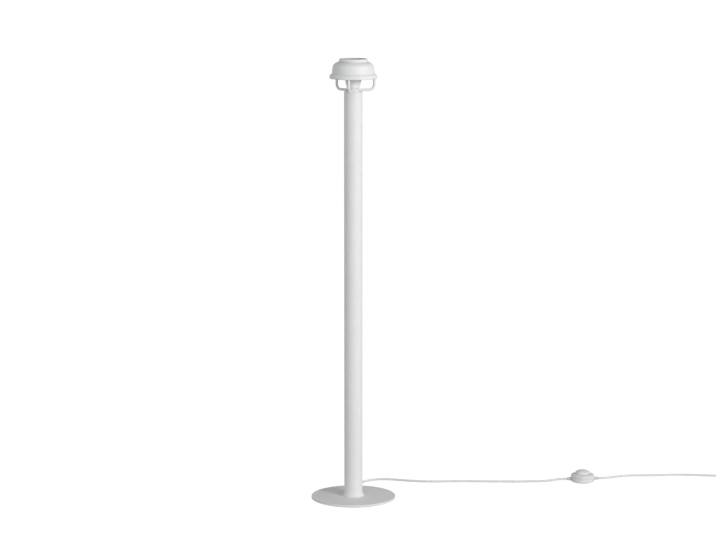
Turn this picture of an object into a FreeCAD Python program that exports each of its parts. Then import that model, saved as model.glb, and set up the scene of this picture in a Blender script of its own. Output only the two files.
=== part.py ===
"""Mushroom floor lamp: disc base, tube stem, small shade on a cage of bent rods, foot switch and cord.

Millimetres. +Z is up, the origin is the centre of the base on the floor, and +Y points to the back of the
lamp, where the cord comes out. Every named piece is written to parts/NAME.step.
"""
import FreeCAD
import Part
import math
import os

V = FreeCAD.Vector
UP = V(0, 0, 1)

# ---- clearances ----
FIT = 0.05                    # radial clearance of a turned piece in its seat
SEAT = 0.05                   # gap between flat faces that are screwed together
SHEET_GAP = 0.10              # room around thin spun sheet where it seats
CABLE_ROOM = 0.25             # radial room of a cord in a bore
PAST = 1.0                    # how far a cutting solid runs past the face that it cuts

# ---- base ----
PLATE_DIAMETER = 232.0
PLATE_THICKNESS = 6.0
PLATE_EDGE = 1.0              # rounding of the plate's edges
PAD_THICKNESS = 1.5
PAD_INSET = 5.0               # from the plate's edge to the pad's edge
PAD_HOLE_DIAMETER = 66.0
PLATE_SCREW_DIAMETER = 6.0
PLATE_SCREW_HEAD = 12.0       # diameter of the countersunk head
PLATE_SCREW_LENGTH = 18.0
PLATE_SCREW_CIRCLE = 17.5     # radius of the circle that the screws stand on
PLATE_SCREWS = 3
PLATE_SCREW_FIRST_ANGLE = 30.0
TAP_RUNOUT = 1.0              # tapped depth past a screw's tip
SOCKET_ACROSS = 4.0           # hexagon socket, across flats

# ---- stem ----
STEM_DIAMETER = 50.0
STEM_WALL = 1.5
STEM_TOP = 1128.5             # top of the closing cap above the floor
BOSS_HEIGHT = 44.0
BOSS_BORE = 24.0
COLLAR_HEIGHT = 20.0
COLLAR_SPREAD = 4.8           # how far the collar's foot stands out from the stem
COLLAR_LIP = 0.5              # thickness of the collar's upper edge
COLLAR_EDGE = 0.8             # upright edge at the collar's foot
COLLAR_WAIST_SPREAD = 0.17    # share of the spread that is left at the hollow's middle
COLLAR_WAIST_HEIGHT = 0.42    # share of the height where that middle lies
CAP_FLANGE = 2.5
CAP_SPIGOT = 14.0
CAP_WEB = 4.0                 # metal left under the flange
CAP_RECESS_DIAMETER = 30.0
CAP_EDGE = 0.6                # rounding of the cap's upper edge

# ---- cord exit in the back of the stem ----
EXIT_HEIGHT = 38.0
CORD_DIAMETER = 5.8
GLAND_DIAMETER = 10.0
GLAND_FLANGE_DIAMETER = 15.0
GLAND_FLANGE_THICKNESS = 2.5
GLAND_FLANGE_EDGE = 0.6
GLAND_SADDLE = 3.0            # how far the flange reaches in to the stem's round wall
GLAND_TAPER_LENGTH = 24.0
GLAND_TAPER_ROOT = 11.0
GLAND_TAPER_TIP = 7.6
GLAND_THREAD_LENGTH = 7.0
GLAND_NUT_THICKNESS = 4.0
GLAND_NUT_ACROSS = 14.0
GLAND_NUT_ROOM = 2.0          # room round the nut in the boss's slot
INNER_BEND_ROOM = 0.5         # from the bush's inner end to the cable's bend

# ---- nipple that clamps the cage and the lampholder to the cap ----
NIPPLE_DIAMETER = 10.0
NIPPLE_BORE = 7.2
NUT_ACROSS = 14.0
NUT_THICKNESS = 3.0
WASHER_DIAMETER = 19.0
WASHER_THICKNESS = 1.0
NIPPLE_PROUD = 1.0            # how far the nipple stands past its nuts

# ---- cage: hub, three bent rods, rim ring ----
HUB_DIAMETER = 34.0
ROD_DIAMETER = 7.0
ROD_BEND = 13.5               # radius of the bend on the rod's centre line
ROD_TENON_DIAMETER = 4.6
ROD_TENON_LENGTH = 7.0
ROD_FIRST_ANGLE = 18.5        # the right rod, counted from +X towards +Y
RODS = ("arm_rod_right", "arm_rod_left", "arm_rod_front")
CAGE_RISE = 35.0              # stem top to the underside of the rim ring
RIM_OUTSIDE = 6.4             # width of the ring outside the shade's skirt
RIM_INSIDE = 5.5              # width of the ring inside it
ROD_INSIDE = 4.3              # the rods stand upright this far inside the ring's outer edge
RIM_BAND = 6.8                # height of the ring's upright band with its lower rounding
RIM_HEIGHT = 12.6
RIM_SHOULDER = 5.6            # how far the ring's upper slope runs in
RIM_BULGE_IN = 1.7            # middle of the slope's round, in from the band
RIM_BULGE_RISE = 0.66         # share of the slope's height where it lies
RIM_ROUND = 1.5
RIM_SEAT = 8.8                # ring underside to the seat of the shade's skirt
RIM_UPSTAND_WALL = 2.3
RIM_UPSTAND_RISE = 9.0        # above the seat
GRUB_DIAMETER = 3.0
GRUB_RISE = 5.0               # above the seat
GRUB_FIRST_ANGLE = 78.5
GRUBS = 3
GRUB_PROUD = 1.0              # how far the grub screws stand in from the ring
GRUB_SLOT_DEPTH = 0.8
GRUB_SLOT_WIDTH = 0.6

# ---- shade: dome and neck ----
SHEET = 1.2
SKIRT_RADIUS = 57.9           # outside of the skirt's lower edge
SKIRT_TAPER = 1.7             # how much smaller the skirt's top is, on the radius
SKIRT_HEIGHT = 21.0
SHOULDER_IN = 10.3            # from the skirt's top in to where the rounded shoulder meets the slope
SHOULDER_HEIGHT = 34.1        # above the skirt's lower edge
SHOULDER_BULGE_OUT = 0.64     # middle of the shoulder's round, as shares of its width and height
SHOULDER_BULGE_UP = 0.60
SLOPE_TUCK = 0.3              # how far the slope's inner face starts in from its outer one
SHOULDER_TUCK = 0.5
CROWN_FLAT = 4.0              # width of the flat round the neck's hole
CROWN_HEIGHT = 35.9
DOME_HOLE_RADIUS = 38.0
NECK_FOOT_OUT = 1.7           # how far the neck's foot laps over the dome's hole
NECK_TAPER = 2.3              # how much smaller the neck's top is than its foot, on the radius
NECK_HEIGHT = 8.5             # above the dome's crown
NECK_WALL = 1.4
NECK_LIP = 0.9                # how far the neck's rolled lip stands out
NECK_CATCH = 1.6              # depth of the lip swaged under the dome's hole
NECK_CATCH_OUT = 1.6          # how far that lip reaches under the dome

# ---- lampholder ----
HOLDER_FOOT_IN = 2.9          # the foot's radius is this much less than the low one
HOLDER_LOW_IN = 3.9           # the low radius is this much less than the holder's own
HOLDER_LOW_HEIGHT = 3.5
HOLDER_TAPER_HEIGHT = 21.0
HOLDER_CUP_HEIGHT = 26.0
HOLDER_WALL = 1.8
HOLDER_FLOOR = 2.2
HOLDER_FOOT_ROUND = 1.2       # height of the foot's round where it is 45 degrees steep
HOLDER_FOOT_TUCK = 0.75       # how far in from the low radius it is there
HOLDER_STEP = 0.5             # inside corner above the outer one
SKIRT_RING_HEIGHT = 27.0
SKIRT_RING_LIP = 2.0
SKIRT_RING_EDGE = 1.2
SKIRT_RING_REBATE = 0.8       # wall left beside the insert's flange
SKIRT_RING_ROOM = 0.2
SKIRT_RING_WALL = 2.35
LIP_OUTSIDE = 2.2             # the lip's hole is this much larger than the lamp thread
INSERT_FLANGE = 2.0
INSERT_FLOOR = 3.0            # floor of the lamp's well above the flange's underside
INSERT_SPIGOT = 3.0
INSERT_ROOM = 0.4
INSERT_FLANGE_ROOM = 0.1
INSERT_WALL = 5.0
BLOCK_LENGTH = 22.0
BLOCK_WIDTH = 12.0
BLOCK_HEIGHT = 10.5
BLOCK_SCREW_SHARE = 0.3       # place of the terminal screws along the block
TERMINAL_HEAD_RADIUS = 2.4
TERMINAL_HEAD_HEIGHT = 2.0
TERMINAL_SHANK_RADIUS = 1.5
TERMINAL_DEPTH = 5.0
THREAD_RADIUS = 13.2          # inside of the lamp thread shell
THREAD_WALL = 0.5
THREAD_LENGTH = 17.0
CONTACT_WELL_RADIUS = 11.5    # room for the centre contact under the thread shell
CONTACT_WELL_DEPTH = 4.0
LEAD_DIAMETER = 2.2
LEAD_END_ROOM = 0.85          # a slanted lead's end stands this far off the face that it meets
LEAD_APART = 1.4              # half the distance between the two leads at the cable's end
CONTACT_STRIP = (7.0, 5.0, 0.6)   # length, width and thickness of the centre contact's foot
TONGUE_LENGTH = 8.0
TONGUE_ROOT_X = -1.3
TONGUE_SLOPE = 22.0           # degrees
CABLE_RISE = 7.0              # how far the cable comes up into the cup

# ---- foot switch ----
SWITCH_X = 653.0
SWITCH_Y = 196.0
SWITCH_TURN = 5.0             # degrees, about the vertical
SWITCH_WALL = 2.0
SWITCH_PAD = 1.0
SWITCH_PAD_INSET = 3.0
SWITCH_PAD_WIDTH = 8.0
SWITCH_SPLIT = 13.5           # height of the parting line
SWITCH_WALL_TOP = 18.6
SWITCH_EDGE_TOP = 20.6
SWITCH_EDGE_IN = 2.0          # how far the upper edge's round runs in
CROWN_LEDGE = 1.3             # width of the level ring round the button's hole
SWITCH_LIP = 0.5              # chamfer along the parting line
SWITCH_FOOT_ROUND = 1.7
SWITCH_ROOF = 2.8             # height of the roof's sheet at the outer wall
SWITCH_CROWN = 23.6
SWITCH_SHADOW = 0.3           # gap at the parting line
BUTTON_RADIUS = 20.0
SWITCH_SHOULDER = 12.5        # width of the case's top round the button
BUTTON_CLEARANCE = 0.3
BUTTON_TOP = 33.8
BUTTON_TRAVEL = 3.0
BUTTON_FOOT = 14.5
BUTTON_FLANGE = 1.8
BUTTON_FLANGE_THICKNESS = 2.2
BUTTON_STOP_ROOM = 0.3        # gap between the button's flange and the sleeve above it
SLEEVE_WALL = 1.7
BUTTON_DOME_RISE = 4.6
BUTTON_DOME_MIDDLE = 1.3      # how far the dome has dropped at half its radius
BUTTON_EDGE_ROUND = 2.4
BUTTON_EDGE_IN = 1.6
BUTTON_EDGE_TUCK = 0.4
BUTTON_EDGE_DROP = 1.0
BUTTON_WALL = 2.0
BUTTON_ROOF = 2.8             # thickness of the dome over its pad
BUTTON_ROOF_SIDE = 3.2        # drop of the dome's inside at the wall
BUTTON_ROOF_MIDDLE = (0.68, 4.5)  # share of the radius and drop at the middle of the inside's round
BUTTON_SOCKET = 1.5           # depth of the plunger's socket in the button's pad
BUTTON_PAD_RADIUS = 7.5
BUTTON_PAD_HEIGHT = 29.5
PLUNGER_DIAMETER = 6.0
PLUNGER_TIP = 12.5
PLUNGER_POINT = 1.0           # length and radius taken off at the plunger's tip
PLUNGER_ROOM = 0.3
WELL_BELOW = 1.5              # depth of the plunger's well past its travel
CONTACT_LENGTH = 26.0
CONTACT_WIDTH = 20.0
CONTACT_TOP = 15.0
CONTACT_SCREW_SHARES = (0.34, 0.32)   # places of the terminal screws along and across the block
CONTACT_SCREW_DEPTH = 4.0
CONTACT_HEAD_HEIGHT = 1.4
DRIVER_SLOT = 0.7             # width and depth of a screw's slot
SPRING_RADIUS = 5.9
SPRING_WIRE = 0.9
SPRING_TURNS = 5
SPRING_ROOM = 0.15            # gap at each end of the spring
SWITCH_SCREW_INSET = 4.5      # from the case's inner wall to the screws' centres
SWITCH_SCREW_DIAMETER = 3.0
SWITCH_SCREW_HEAD_RADIUS = 2.8
SWITCH_SCREW_SINK = 2.4       # depth of the screws' counterbore
SWITCH_SCREW_SUNK = 0.4
SWITCH_SCREW_COVER = 3.0      # from the screws' tips up to the case's upper edge
CROSS_LENGTH = 3.2            # arms of a screw's cross recess
CROSS_DEPTH = 1.0
POST_RADIUS = 3.2
POST_SPLIT = 1.5              # the two halves' posts meet this far under the parting line
INLET_HEIGHT = 8.0
RELIEF_OUTSIDE = 12.0
RELIEF_INSIDE = 4.0           # length of the bush inside its flange
RELIEF_ROOT_RADIUS = 5.2
RELIEF_TIP_RADIUS = 3.8
RELIEF_NECK_RADIUS = 4.3
RELIEF_FLANGE_RADIUS = 4.8
RELIEF_FLANGE_THICKNESS = 2.2
RELIEF_ROOT_LENGTH = 1.5
TAIL_LEAD_APART = 1.6         # half the distance between the leads of a cord's tail

# ---- plug ----
PLUG_X = 1148.0
PLUG_Y = 100.0                # rear end of the plug's strain relief
PLUG_LENGTH = 36.0
PLUG_WIDTH = 26.0
PLUG_THICKNESS = 13.7
PLUG_NOSE_WIDTH = 24.0
PLUG_SHOULDER = 13.0          # from the rear face to the full width
PLUG_WAIST = 20.0             # from the rear face to where the sides draw in
PLUG_NECK_OUT = 1.2           # rear face beside the strain relief
PLUG_EDGE = 1.6
PLUG_RELIEF_LENGTH = 26.0
PLUG_RELIEF_ROOT_RADIUS = 5.4
PLUG_RELIEF_TIP_RADIUS = 3.8
PIN_DIAMETER = 4.0
PIN_LENGTH = 19.0
PIN_SPACING = 18.6
PIN_POINT = 1.0               # length and radius taken off at each pin's tip
PIN_ROOT = 6.0                # length held inside the plug
PIN_ROOT_DIAMETER = 3.0

# ---- cord ----
CORD_LIE = 2.95               # height of the cord's centre where it lies on the floor
COIL_X = 1107.0
COIL_Y = 203.0
COIL_INNER_RADIUS = 24.2
COIL_PITCH = 6.3
COIL_TURNS = 6.25
COIL_FIRST_ANGLE = 90.0
COIL_LIE = 3.95
TIE_ANGLES = (180.0, 300.0)
TIE_WIDTH = 9.0
TIE_THICKNESS = 0.8
TIE_GAP = 0.2
TIE_INSIDE = 1.26             # extra room inside the coil, where the strap runs straight across its curve

# ---- worked out from the sizes above ----
PLATE_TOP = PAD_THICKNESS + PLATE_THICKNESS
STEM_RADIUS = STEM_DIAMETER / 2
STEM_BORE_RADIUS = STEM_RADIUS - STEM_WALL
TUBE_TOP = STEM_TOP - CAP_FLANGE
HUB_TOP = STEM_TOP + ROD_DIAMETER
RIM_BOTTOM = STEM_TOP + CAGE_RISE
SKIRT_BOTTOM = RIM_BOTTOM + RIM_SEAT + SEAT
CROWN = SKIRT_BOTTOM + CROWN_HEIGHT
LAMP_TOP = CROWN + NECK_HEIGHT
INSERT_RADIUS = THREAD_RADIUS + THREAD_WALL + FIT + INSERT_WALL
HOLDER_RADIUS = INSERT_RADIUS + SKIRT_RING_ROOM + SKIRT_RING_WALL
HOLDER_LOW_RADIUS = HOLDER_RADIUS - HOLDER_LOW_IN
HOLDER_FOOT_RADIUS = HOLDER_LOW_RADIUS - HOLDER_FOOT_IN
SKIRT_TOP_RADIUS = SKIRT_RADIUS - SKIRT_TAPER
SKIRT_SLANT = math.hypot(SKIRT_TAPER, SKIRT_HEIGHT) / SKIRT_HEIGHT
SHOULDER_RADIUS = SKIRT_TOP_RADIUS - SHOULDER_IN
CROWN_RADIUS = DOME_HOLE_RADIUS + CROWN_FLAT
NECK_FOOT_RADIUS = DOME_HOLE_RADIUS + NECK_FOOT_OUT
NECK_TOP_RADIUS = NECK_FOOT_RADIUS - NECK_TAPER
RIM_OUTER_RADIUS = SKIRT_RADIUS + RIM_OUTSIDE
RIM_INNER_RADIUS = SKIRT_RADIUS - RIM_INSIDE
ROD_CIRCLE = RIM_OUTER_RADIUS - ROD_INSIDE
HOLDER_BOTTOM = HUB_TOP
HOLDER_SPLIT = HOLDER_BOTTOM + HOLDER_CUP_HEIGHT
CORD_RADIUS = CORD_DIAMETER / 2
INNER_BEND = STEM_BORE_RADIUS - GLAND_THREAD_LENGTH - INNER_BEND_ROOM
GLAND_TIP_Y = STEM_RADIUS + GLAND_FLANGE_THICKNESS + GLAND_TAPER_LENGTH
SWITCH_RADIUS = BUTTON_RADIUS + SWITCH_SHOULDER
SWITCH_SCREW_CIRCLE = SWITCH_RADIUS - SWITCH_WALL - SWITCH_SCREW_INSET
RELIEF_REACH = SWITCH_RADIUS + RELIEF_OUTSIDE
COIL_OUTER_RADIUS = COIL_INNER_RADIUS + COIL_PITCH * COIL_TURNS / 2
CONTACT_FLOOR = SWITCH_PAD + SWITCH_WALL


def write(name, shape):
    shape.exportStep(os.path.join("parts", name + ".step"))
    print(f"{name}: {shape.Volume / 1000:.2f} cm3, {len(shape.Solids)} solids")


def cylinder(radius, bottom, top, x=0.0, y=0.0):
    return Part.makeCylinder(radius, top - bottom, V(x, y, bottom), UP)


def rod_between(start, end, radius):
    return Part.makeCylinder(radius, (end - start).Length, start, end - start)


def turned(start, *steps):
    """Solid turned about Z from (radius, height) points. A step of one point is a line to it, and a step of
    two points is an arc through the first to the second."""
    edges = []
    here = V(start[0], 0, start[1])
    for step in steps + ((start,),):
        there = V(step[-1][0], 0, step[-1][1])
        if len(step) == 1:
            edges.append(Part.LineSegment(here, there).toShape())
        else:
            edges.append(Part.Arc(here, V(step[0][0], 0, step[0][1]), there).toShape())
        here = there
    return Part.Face(Part.Wire(edges)).revolve(V(0, 0, 0), UP, 360)


def lines(*points):
    """Points of an outline as straight steps for turned()."""
    return tuple((point,) for point in points)


def rounded(start, corner, end):
    """Step for turned() that rounds the corner between two points as far from it as each other."""
    share = math.sqrt(0.5)
    centre = (start[0] + end[0] - corner[0], start[1] + end[1] - corner[1])
    middle = tuple(c + (k - c) * share for c, k in zip(centre, corner))
    return (middle, end)


def hexagon(across, bottom, top, x=0.0, y=0.0):
    corner = across / 2 / math.cos(math.pi / 6)
    turns = [math.radians(60 * k) for k in range(7)]
    ring = [V(x + corner * math.cos(turn), y + corner * math.sin(turn), bottom) for turn in turns]
    return Part.Face(Part.makePolygon(ring)).extrude(V(0, 0, top - bottom))


def about_z(shape, degrees):
    copy = shape.copy()
    copy.rotate(V(0, 0, 0), UP, degrees)
    return copy


def along_y(shape):
    """Lays a piece turned about Z down so that its +Z runs along +Y."""
    copy = shape.copy()
    copy.rotate(V(0, 0, 0), V(1, 0, 0), -90)
    return copy


def moved(shape, x, y, z):
    copy = shape.copy()
    copy.translate(V(x, y, z))
    return copy


def swept(edges, radius):
    """Round bar along joined edges."""
    path = Part.Wire(edges)
    first = path.OrderedEdges[0]
    at = first.FirstParameter if first.Orientation == "Forward" else first.LastParameter
    start = first.valueAt(at)
    heading = first.tangentAt(at)
    section = Part.Wire([Part.makeCircle(radius, start, heading)])
    return path.makePipeShell([section], True, False)


# ---- base ----

def base():
    radius = PLATE_DIAMETER / 2
    plate = cylinder(radius, PAD_THICKNESS, PLATE_TOP)
    rims = [edge for edge in plate.Edges if len(edge.Vertexes) == 1]
    plate = plate.makeFillet(PLATE_EDGE, rims)
    screws = []
    for k in range(PLATE_SCREWS):
        x, y = plate_screw_place(k)
        head_height = (PLATE_SCREW_HEAD - PLATE_SCREW_DIAMETER) / 2
        sink = Part.makeCone(PLATE_SCREW_HEAD / 2 + FIT, PLATE_SCREW_DIAMETER / 2 + FIT, head_height,
                             V(x, y, PAD_THICKNESS), UP)
        plate = plate.cut(sink).cut(cylinder(PLATE_SCREW_DIAMETER / 2 + FIT, PAD_THICKNESS, PLATE_TOP, x, y))
        screws.append(plate_screw(x, y, head_height))
    write("base_plate", plate)
    write("base_plate_screws", Part.makeCompound(screws))
    pad = cylinder(radius - PAD_INSET, 0, PAD_THICKNESS)
    pad = pad.cut(cylinder(PAD_HOLE_DIAMETER / 2, 0, PAD_THICKNESS))
    write("base_pad", pad)


def plate_screw_place(k):
    turn = math.radians(PLATE_SCREW_FIRST_ANGLE + 360 / PLATE_SCREWS * k)
    return PLATE_SCREW_CIRCLE * math.cos(turn), PLATE_SCREW_CIRCLE * math.sin(turn)


def plate_screw(x, y, head_height):
    radius = PLATE_SCREW_DIAMETER / 2
    head = Part.makeCone(PLATE_SCREW_HEAD / 2, radius, head_height, V(x, y, PAD_THICKNESS), UP)
    shank = cylinder(radius, PAD_THICKNESS, PAD_THICKNESS + PLATE_SCREW_LENGTH, x, y)
    socket = hexagon(SOCKET_ACROSS, PAD_THICKNESS, PAD_THICKNESS + head_height, x, y)
    return head.fuse(shank).cut(socket)


# ---- stem ----

def stem():
    bore = STEM_BORE_RADIUS
    hole = rod_between(V(0, 0, EXIT_HEIGHT), V(0, STEM_DIAMETER, EXIT_HEIGHT), GLAND_DIAMETER / 2 + FIT)
    tube = cylinder(STEM_RADIUS, PLATE_TOP, TUBE_TOP).cut(cylinder(bore, PLATE_TOP, TUBE_TOP)).cut(hole)
    write("stem_tube", tube)

    boss = cylinder(bore - FIT, PLATE_TOP, PLATE_TOP + BOSS_HEIGHT)
    boss = boss.cut(cylinder(BOSS_BORE / 2, PLATE_TOP, PLATE_TOP + BOSS_HEIGHT))
    slot_side = GLAND_NUT_ACROSS / 2 + GLAND_NUT_ROOM
    slot_floor = EXIT_HEIGHT - slot_side
    slot_height = PLATE_TOP + BOSS_HEIGHT - slot_floor
    slot = Part.makeBox(2 * slot_side, bore, slot_height, V(-slot_side, 0, slot_floor))
    boss = boss.cut(slot)
    tapped = PLATE_SCREW_LENGTH - PLATE_THICKNESS + TAP_RUNOUT
    for k in range(PLATE_SCREWS):
        x, y = plate_screw_place(k)
        boss = boss.cut(cylinder(PLATE_SCREW_DIAMETER / 2 + FIT, PLATE_TOP, PLATE_TOP + tapped, x, y))
    write("stem_foot_boss", boss)

    inner = STEM_RADIUS + FIT
    foot = STEM_RADIUS + COLLAR_SPREAD
    top = PLATE_TOP + COLLAR_HEIGHT
    middle = (STEM_RADIUS + COLLAR_LIP + COLLAR_SPREAD * COLLAR_WAIST_SPREAD,
              PLATE_TOP + COLLAR_HEIGHT * COLLAR_WAIST_HEIGHT)
    collar = turned((inner, PLATE_TOP), ((foot, PLATE_TOP),), ((foot, PLATE_TOP + COLLAR_EDGE),),
                    (middle, (STEM_RADIUS + COLLAR_LIP, top)), ((inner, top),))
    write("stem_foot_collar", collar)

    web = TUBE_TOP - CAP_WEB
    spigot = TUBE_TOP - CAP_SPIGOT
    hole = NIPPLE_DIAMETER / 2 + FIT
    recess = CAP_RECESS_DIAMETER / 2
    cap = turned((hole, STEM_TOP), ((STEM_RADIUS - CAP_EDGE, STEM_TOP),),
                 rounded((STEM_RADIUS - CAP_EDGE, STEM_TOP), (STEM_RADIUS, STEM_TOP),
                         (STEM_RADIUS, STEM_TOP - CAP_EDGE)),
                 *lines((STEM_RADIUS, TUBE_TOP), (bore - FIT, TUBE_TOP), (bore - FIT, spigot),
                        (recess, spigot), (recess, web), (hole, web)))
    write("stem_top_cap", cap)


def cord_exit():
    """Flanged bush with a tapered tail through the stem's wall, its nut, and the cable up inside."""
    inner_end = STEM_BORE_RADIUS - GLAND_THREAD_LENGTH
    saddle = STEM_RADIUS - GLAND_SADDLE
    root = STEM_RADIUS + GLAND_FLANGE_THICKNESS
    flange = GLAND_FLANGE_DIAMETER / 2
    bore = CORD_RADIUS + CABLE_ROOM
    bush = turned((GLAND_DIAMETER / 2, inner_end),
                  *lines((GLAND_DIAMETER / 2, saddle), (flange, saddle), (flange, root - GLAND_FLANGE_EDGE)),
                  rounded((flange, root - GLAND_FLANGE_EDGE), (flange, root),
                          (flange - GLAND_FLANGE_EDGE, root)),
                  *lines((GLAND_TAPER_ROOT / 2, root), (GLAND_TAPER_TIP / 2, GLAND_TIP_Y),
                         (bore, GLAND_TIP_Y), (bore, inner_end)))
    bush = moved(along_y(bush), 0, 0, EXIT_HEIGHT)
    shell = cylinder(STEM_RADIUS + FIT, 0, EXIT_HEIGHT * 2)
    shell = shell.cut(rod_between(V(0, 0, EXIT_HEIGHT), V(0, STEM_DIAMETER, EXIT_HEIGHT), GLAND_DIAMETER / 2))
    write("cord_gland", bush.cut(shell))

    seat = math.sqrt(STEM_BORE_RADIUS ** 2 - (GLAND_NUT_ACROSS / 2 / math.cos(math.pi / 6)) ** 2) - SEAT
    nut = hexagon(GLAND_NUT_ACROSS, seat - GLAND_NUT_THICKNESS, seat)
    nut = nut.cut(cylinder(GLAND_DIAMETER / 2 + FIT, seat - GLAND_NUT_THICKNESS, seat))
    write("cord_gland_nut", moved(along_y(nut), 0, 0, EXIT_HEIGHT))

    turn_centre = EXIT_HEIGHT + INNER_BEND
    corner = INNER_BEND * (1 - math.cos(math.pi / 4))
    path = [Part.LineSegment(V(0, GLAND_TIP_Y, EXIT_HEIGHT), V(0, INNER_BEND, EXIT_HEIGHT)).toShape(),
            Part.Arc(V(0, INNER_BEND, EXIT_HEIGHT), V(0, corner, EXIT_HEIGHT + corner),
                     V(0, 0, turn_centre)).toShape(),
            Part.LineSegment(V(0, 0, turn_centre), V(0, 0, HOLDER_BOTTOM + CABLE_RISE)).toShape()]
    write("inner_cable", swept(path, CORD_RADIUS))


# ---- cage ----

def nipple():
    web = TUBE_TOP - CAP_WEB
    low = web - SEAT - WASHER_THICKNESS - SEAT - NUT_THICKNESS - NIPPLE_PROUD
    high = HOLDER_BOTTOM + HOLDER_FLOOR + SEAT + NUT_THICKNESS + NIPPLE_PROUD
    hollow = cylinder(NIPPLE_BORE / 2, low, high)
    write("threaded_nipple", cylinder(NIPPLE_DIAMETER / 2, low, high).cut(hollow))
    washer_top = web - SEAT
    hole = cylinder(NIPPLE_DIAMETER / 2 + FIT, low, high)
    washer = cylinder(WASHER_DIAMETER / 2, washer_top - WASHER_THICKNESS, washer_top).cut(hole)
    write("nipple_washer", washer)
    nut_top = washer_top - WASHER_THICKNESS - SEAT
    lower = hexagon(NUT_ACROSS, nut_top - NUT_THICKNESS, nut_top).cut(hole)
    upper_bottom = HOLDER_BOTTOM + HOLDER_FLOOR + SEAT
    upper = hexagon(NUT_ACROSS, upper_bottom, upper_bottom + NUT_THICKNESS).cut(hole)
    write("nipple_nuts", Part.makeCompound([lower, upper]))


def cage():
    middle = STEM_TOP + ROD_DIAMETER / 2
    inner_end = HUB_DIAMETER / 2
    hub = turned((NIPPLE_DIAMETER / 2 + FIT, STEM_TOP + SEAT),
                 *lines((HUB_DIAMETER / 2, STEM_TOP + SEAT), (HUB_DIAMETER / 2, HUB_TOP - SEAT),
                        (NIPPLE_DIAMETER / 2 + FIT, HUB_TOP - SEAT)))
    tenon = ROD_TENON_DIAMETER / 2
    hole_depth = ROD_TENON_LENGTH + SEAT
    ring = rim_ring()
    for k, name in enumerate(RODS):
        turn = ROD_FIRST_ANGLE + 360 / len(RODS) * k
        bend = ROD_BEND * (1 - math.cos(math.pi / 4))
        path = [Part.LineSegment(V(inner_end, 0, middle), V(ROD_CIRCLE - ROD_BEND, 0, middle)).toShape(),
                Part.Arc(V(ROD_CIRCLE - ROD_BEND, 0, middle), V(ROD_CIRCLE - bend, 0, middle + bend),
                         V(ROD_CIRCLE, 0, middle + ROD_BEND)).toShape(),
                Part.LineSegment(V(ROD_CIRCLE, 0, middle + ROD_BEND), V(ROD_CIRCLE, 0, RIM_BOTTOM)).toShape()]
        bar = swept(path, ROD_DIAMETER / 2)
        bar = bar.cut(cylinder(inner_end + FIT, STEM_TOP - PAST, HUB_TOP + PAST))
        inner_tenon = rod_between(V(inner_end - ROD_TENON_LENGTH, 0, middle), V(inner_end + PAST, 0, middle),
                                  tenon)
        upper_tenon = cylinder(tenon, RIM_BOTTOM - PAST, RIM_BOTTOM + ROD_TENON_LENGTH, ROD_CIRCLE)
        write(name, about_z(bar.fuse(inner_tenon).fuse(upper_tenon), turn))
        inner_hole = rod_between(V(inner_end - hole_depth, 0, middle), V(inner_end + PAST, 0, middle),
                                 tenon + FIT)
        upper_hole = cylinder(tenon + FIT, RIM_BOTTOM - PAST, RIM_BOTTOM + hole_depth, ROD_CIRCLE)
        hub = hub.cut(about_z(inner_hole, turn))
        ring = ring.cut(about_z(upper_hole, turn))
    write("cage_hub", hub)
    screws = []
    seat = RIM_BOTTOM + RIM_SEAT
    height = seat + GRUB_RISE
    head = RIM_INNER_RADIUS - GRUB_PROUD
    tip = skirt_radius(height + GRUB_DIAMETER / 2) - SHEET * SKIRT_SLANT - SHEET_GAP
    for k in range(GRUBS):
        turn = GRUB_FIRST_ANGLE + 360 / GRUBS * k
        hole = rod_between(V(head - PAST, 0, height), V(tip, 0, height), GRUB_DIAMETER / 2 + FIT)
        ring = ring.cut(about_z(hole, turn))
        screw = rod_between(V(head, 0, height), V(tip, 0, height), GRUB_DIAMETER / 2)
        slot = Part.makeBox(GRUB_SLOT_DEPTH, GRUB_DIAMETER, GRUB_SLOT_WIDTH,
                            V(head, -GRUB_DIAMETER / 2, height - GRUB_SLOT_WIDTH / 2))
        screws.append(about_z(screw.cut(slot), turn))
    write("rim_ring", ring)
    write("rim_grub_screws", Part.makeCompound(screws))


def rim_ring():
    """Ring with a rounded band outside, a groove for the shade's skirt and an upstand inside it."""
    low = RIM_BOTTOM + SEAT
    seat = RIM_BOTTOM + RIM_SEAT
    groove = SKIRT_RADIUS + SHEET_GAP
    upstand = RIM_INNER_RADIUS + RIM_UPSTAND_WALL
    top = RIM_BOTTOM + RIM_HEIGHT
    band_top = RIM_BOTTOM + RIM_BAND
    slope_in = RIM_OUTER_RADIUS - RIM_SHOULDER
    bulge = (RIM_OUTER_RADIUS - RIM_BULGE_IN, band_top + (top - band_top) * RIM_BULGE_RISE)
    return turned((RIM_INNER_RADIUS, low), ((RIM_OUTER_RADIUS - RIM_ROUND, low),),
                  rounded((RIM_OUTER_RADIUS - RIM_ROUND, low), (RIM_OUTER_RADIUS, low),
                          (RIM_OUTER_RADIUS, low + RIM_ROUND)),
                  ((RIM_OUTER_RADIUS, band_top),), (bulge, (slope_in, top)),
                  *lines((groove, top), (groove, seat), (upstand, seat), (upstand, seat + RIM_UPSTAND_RISE),
                         (RIM_INNER_RADIUS, seat + RIM_UPSTAND_RISE)))


# ---- shade ----

def skirt_radius(height):
    """Outer radius of the dome's tapered skirt at a height."""
    share = (height - SKIRT_BOTTOM) / SKIRT_HEIGHT
    return SKIRT_RADIUS + (SKIRT_TOP_RADIUS - SKIRT_RADIUS) * share


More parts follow.
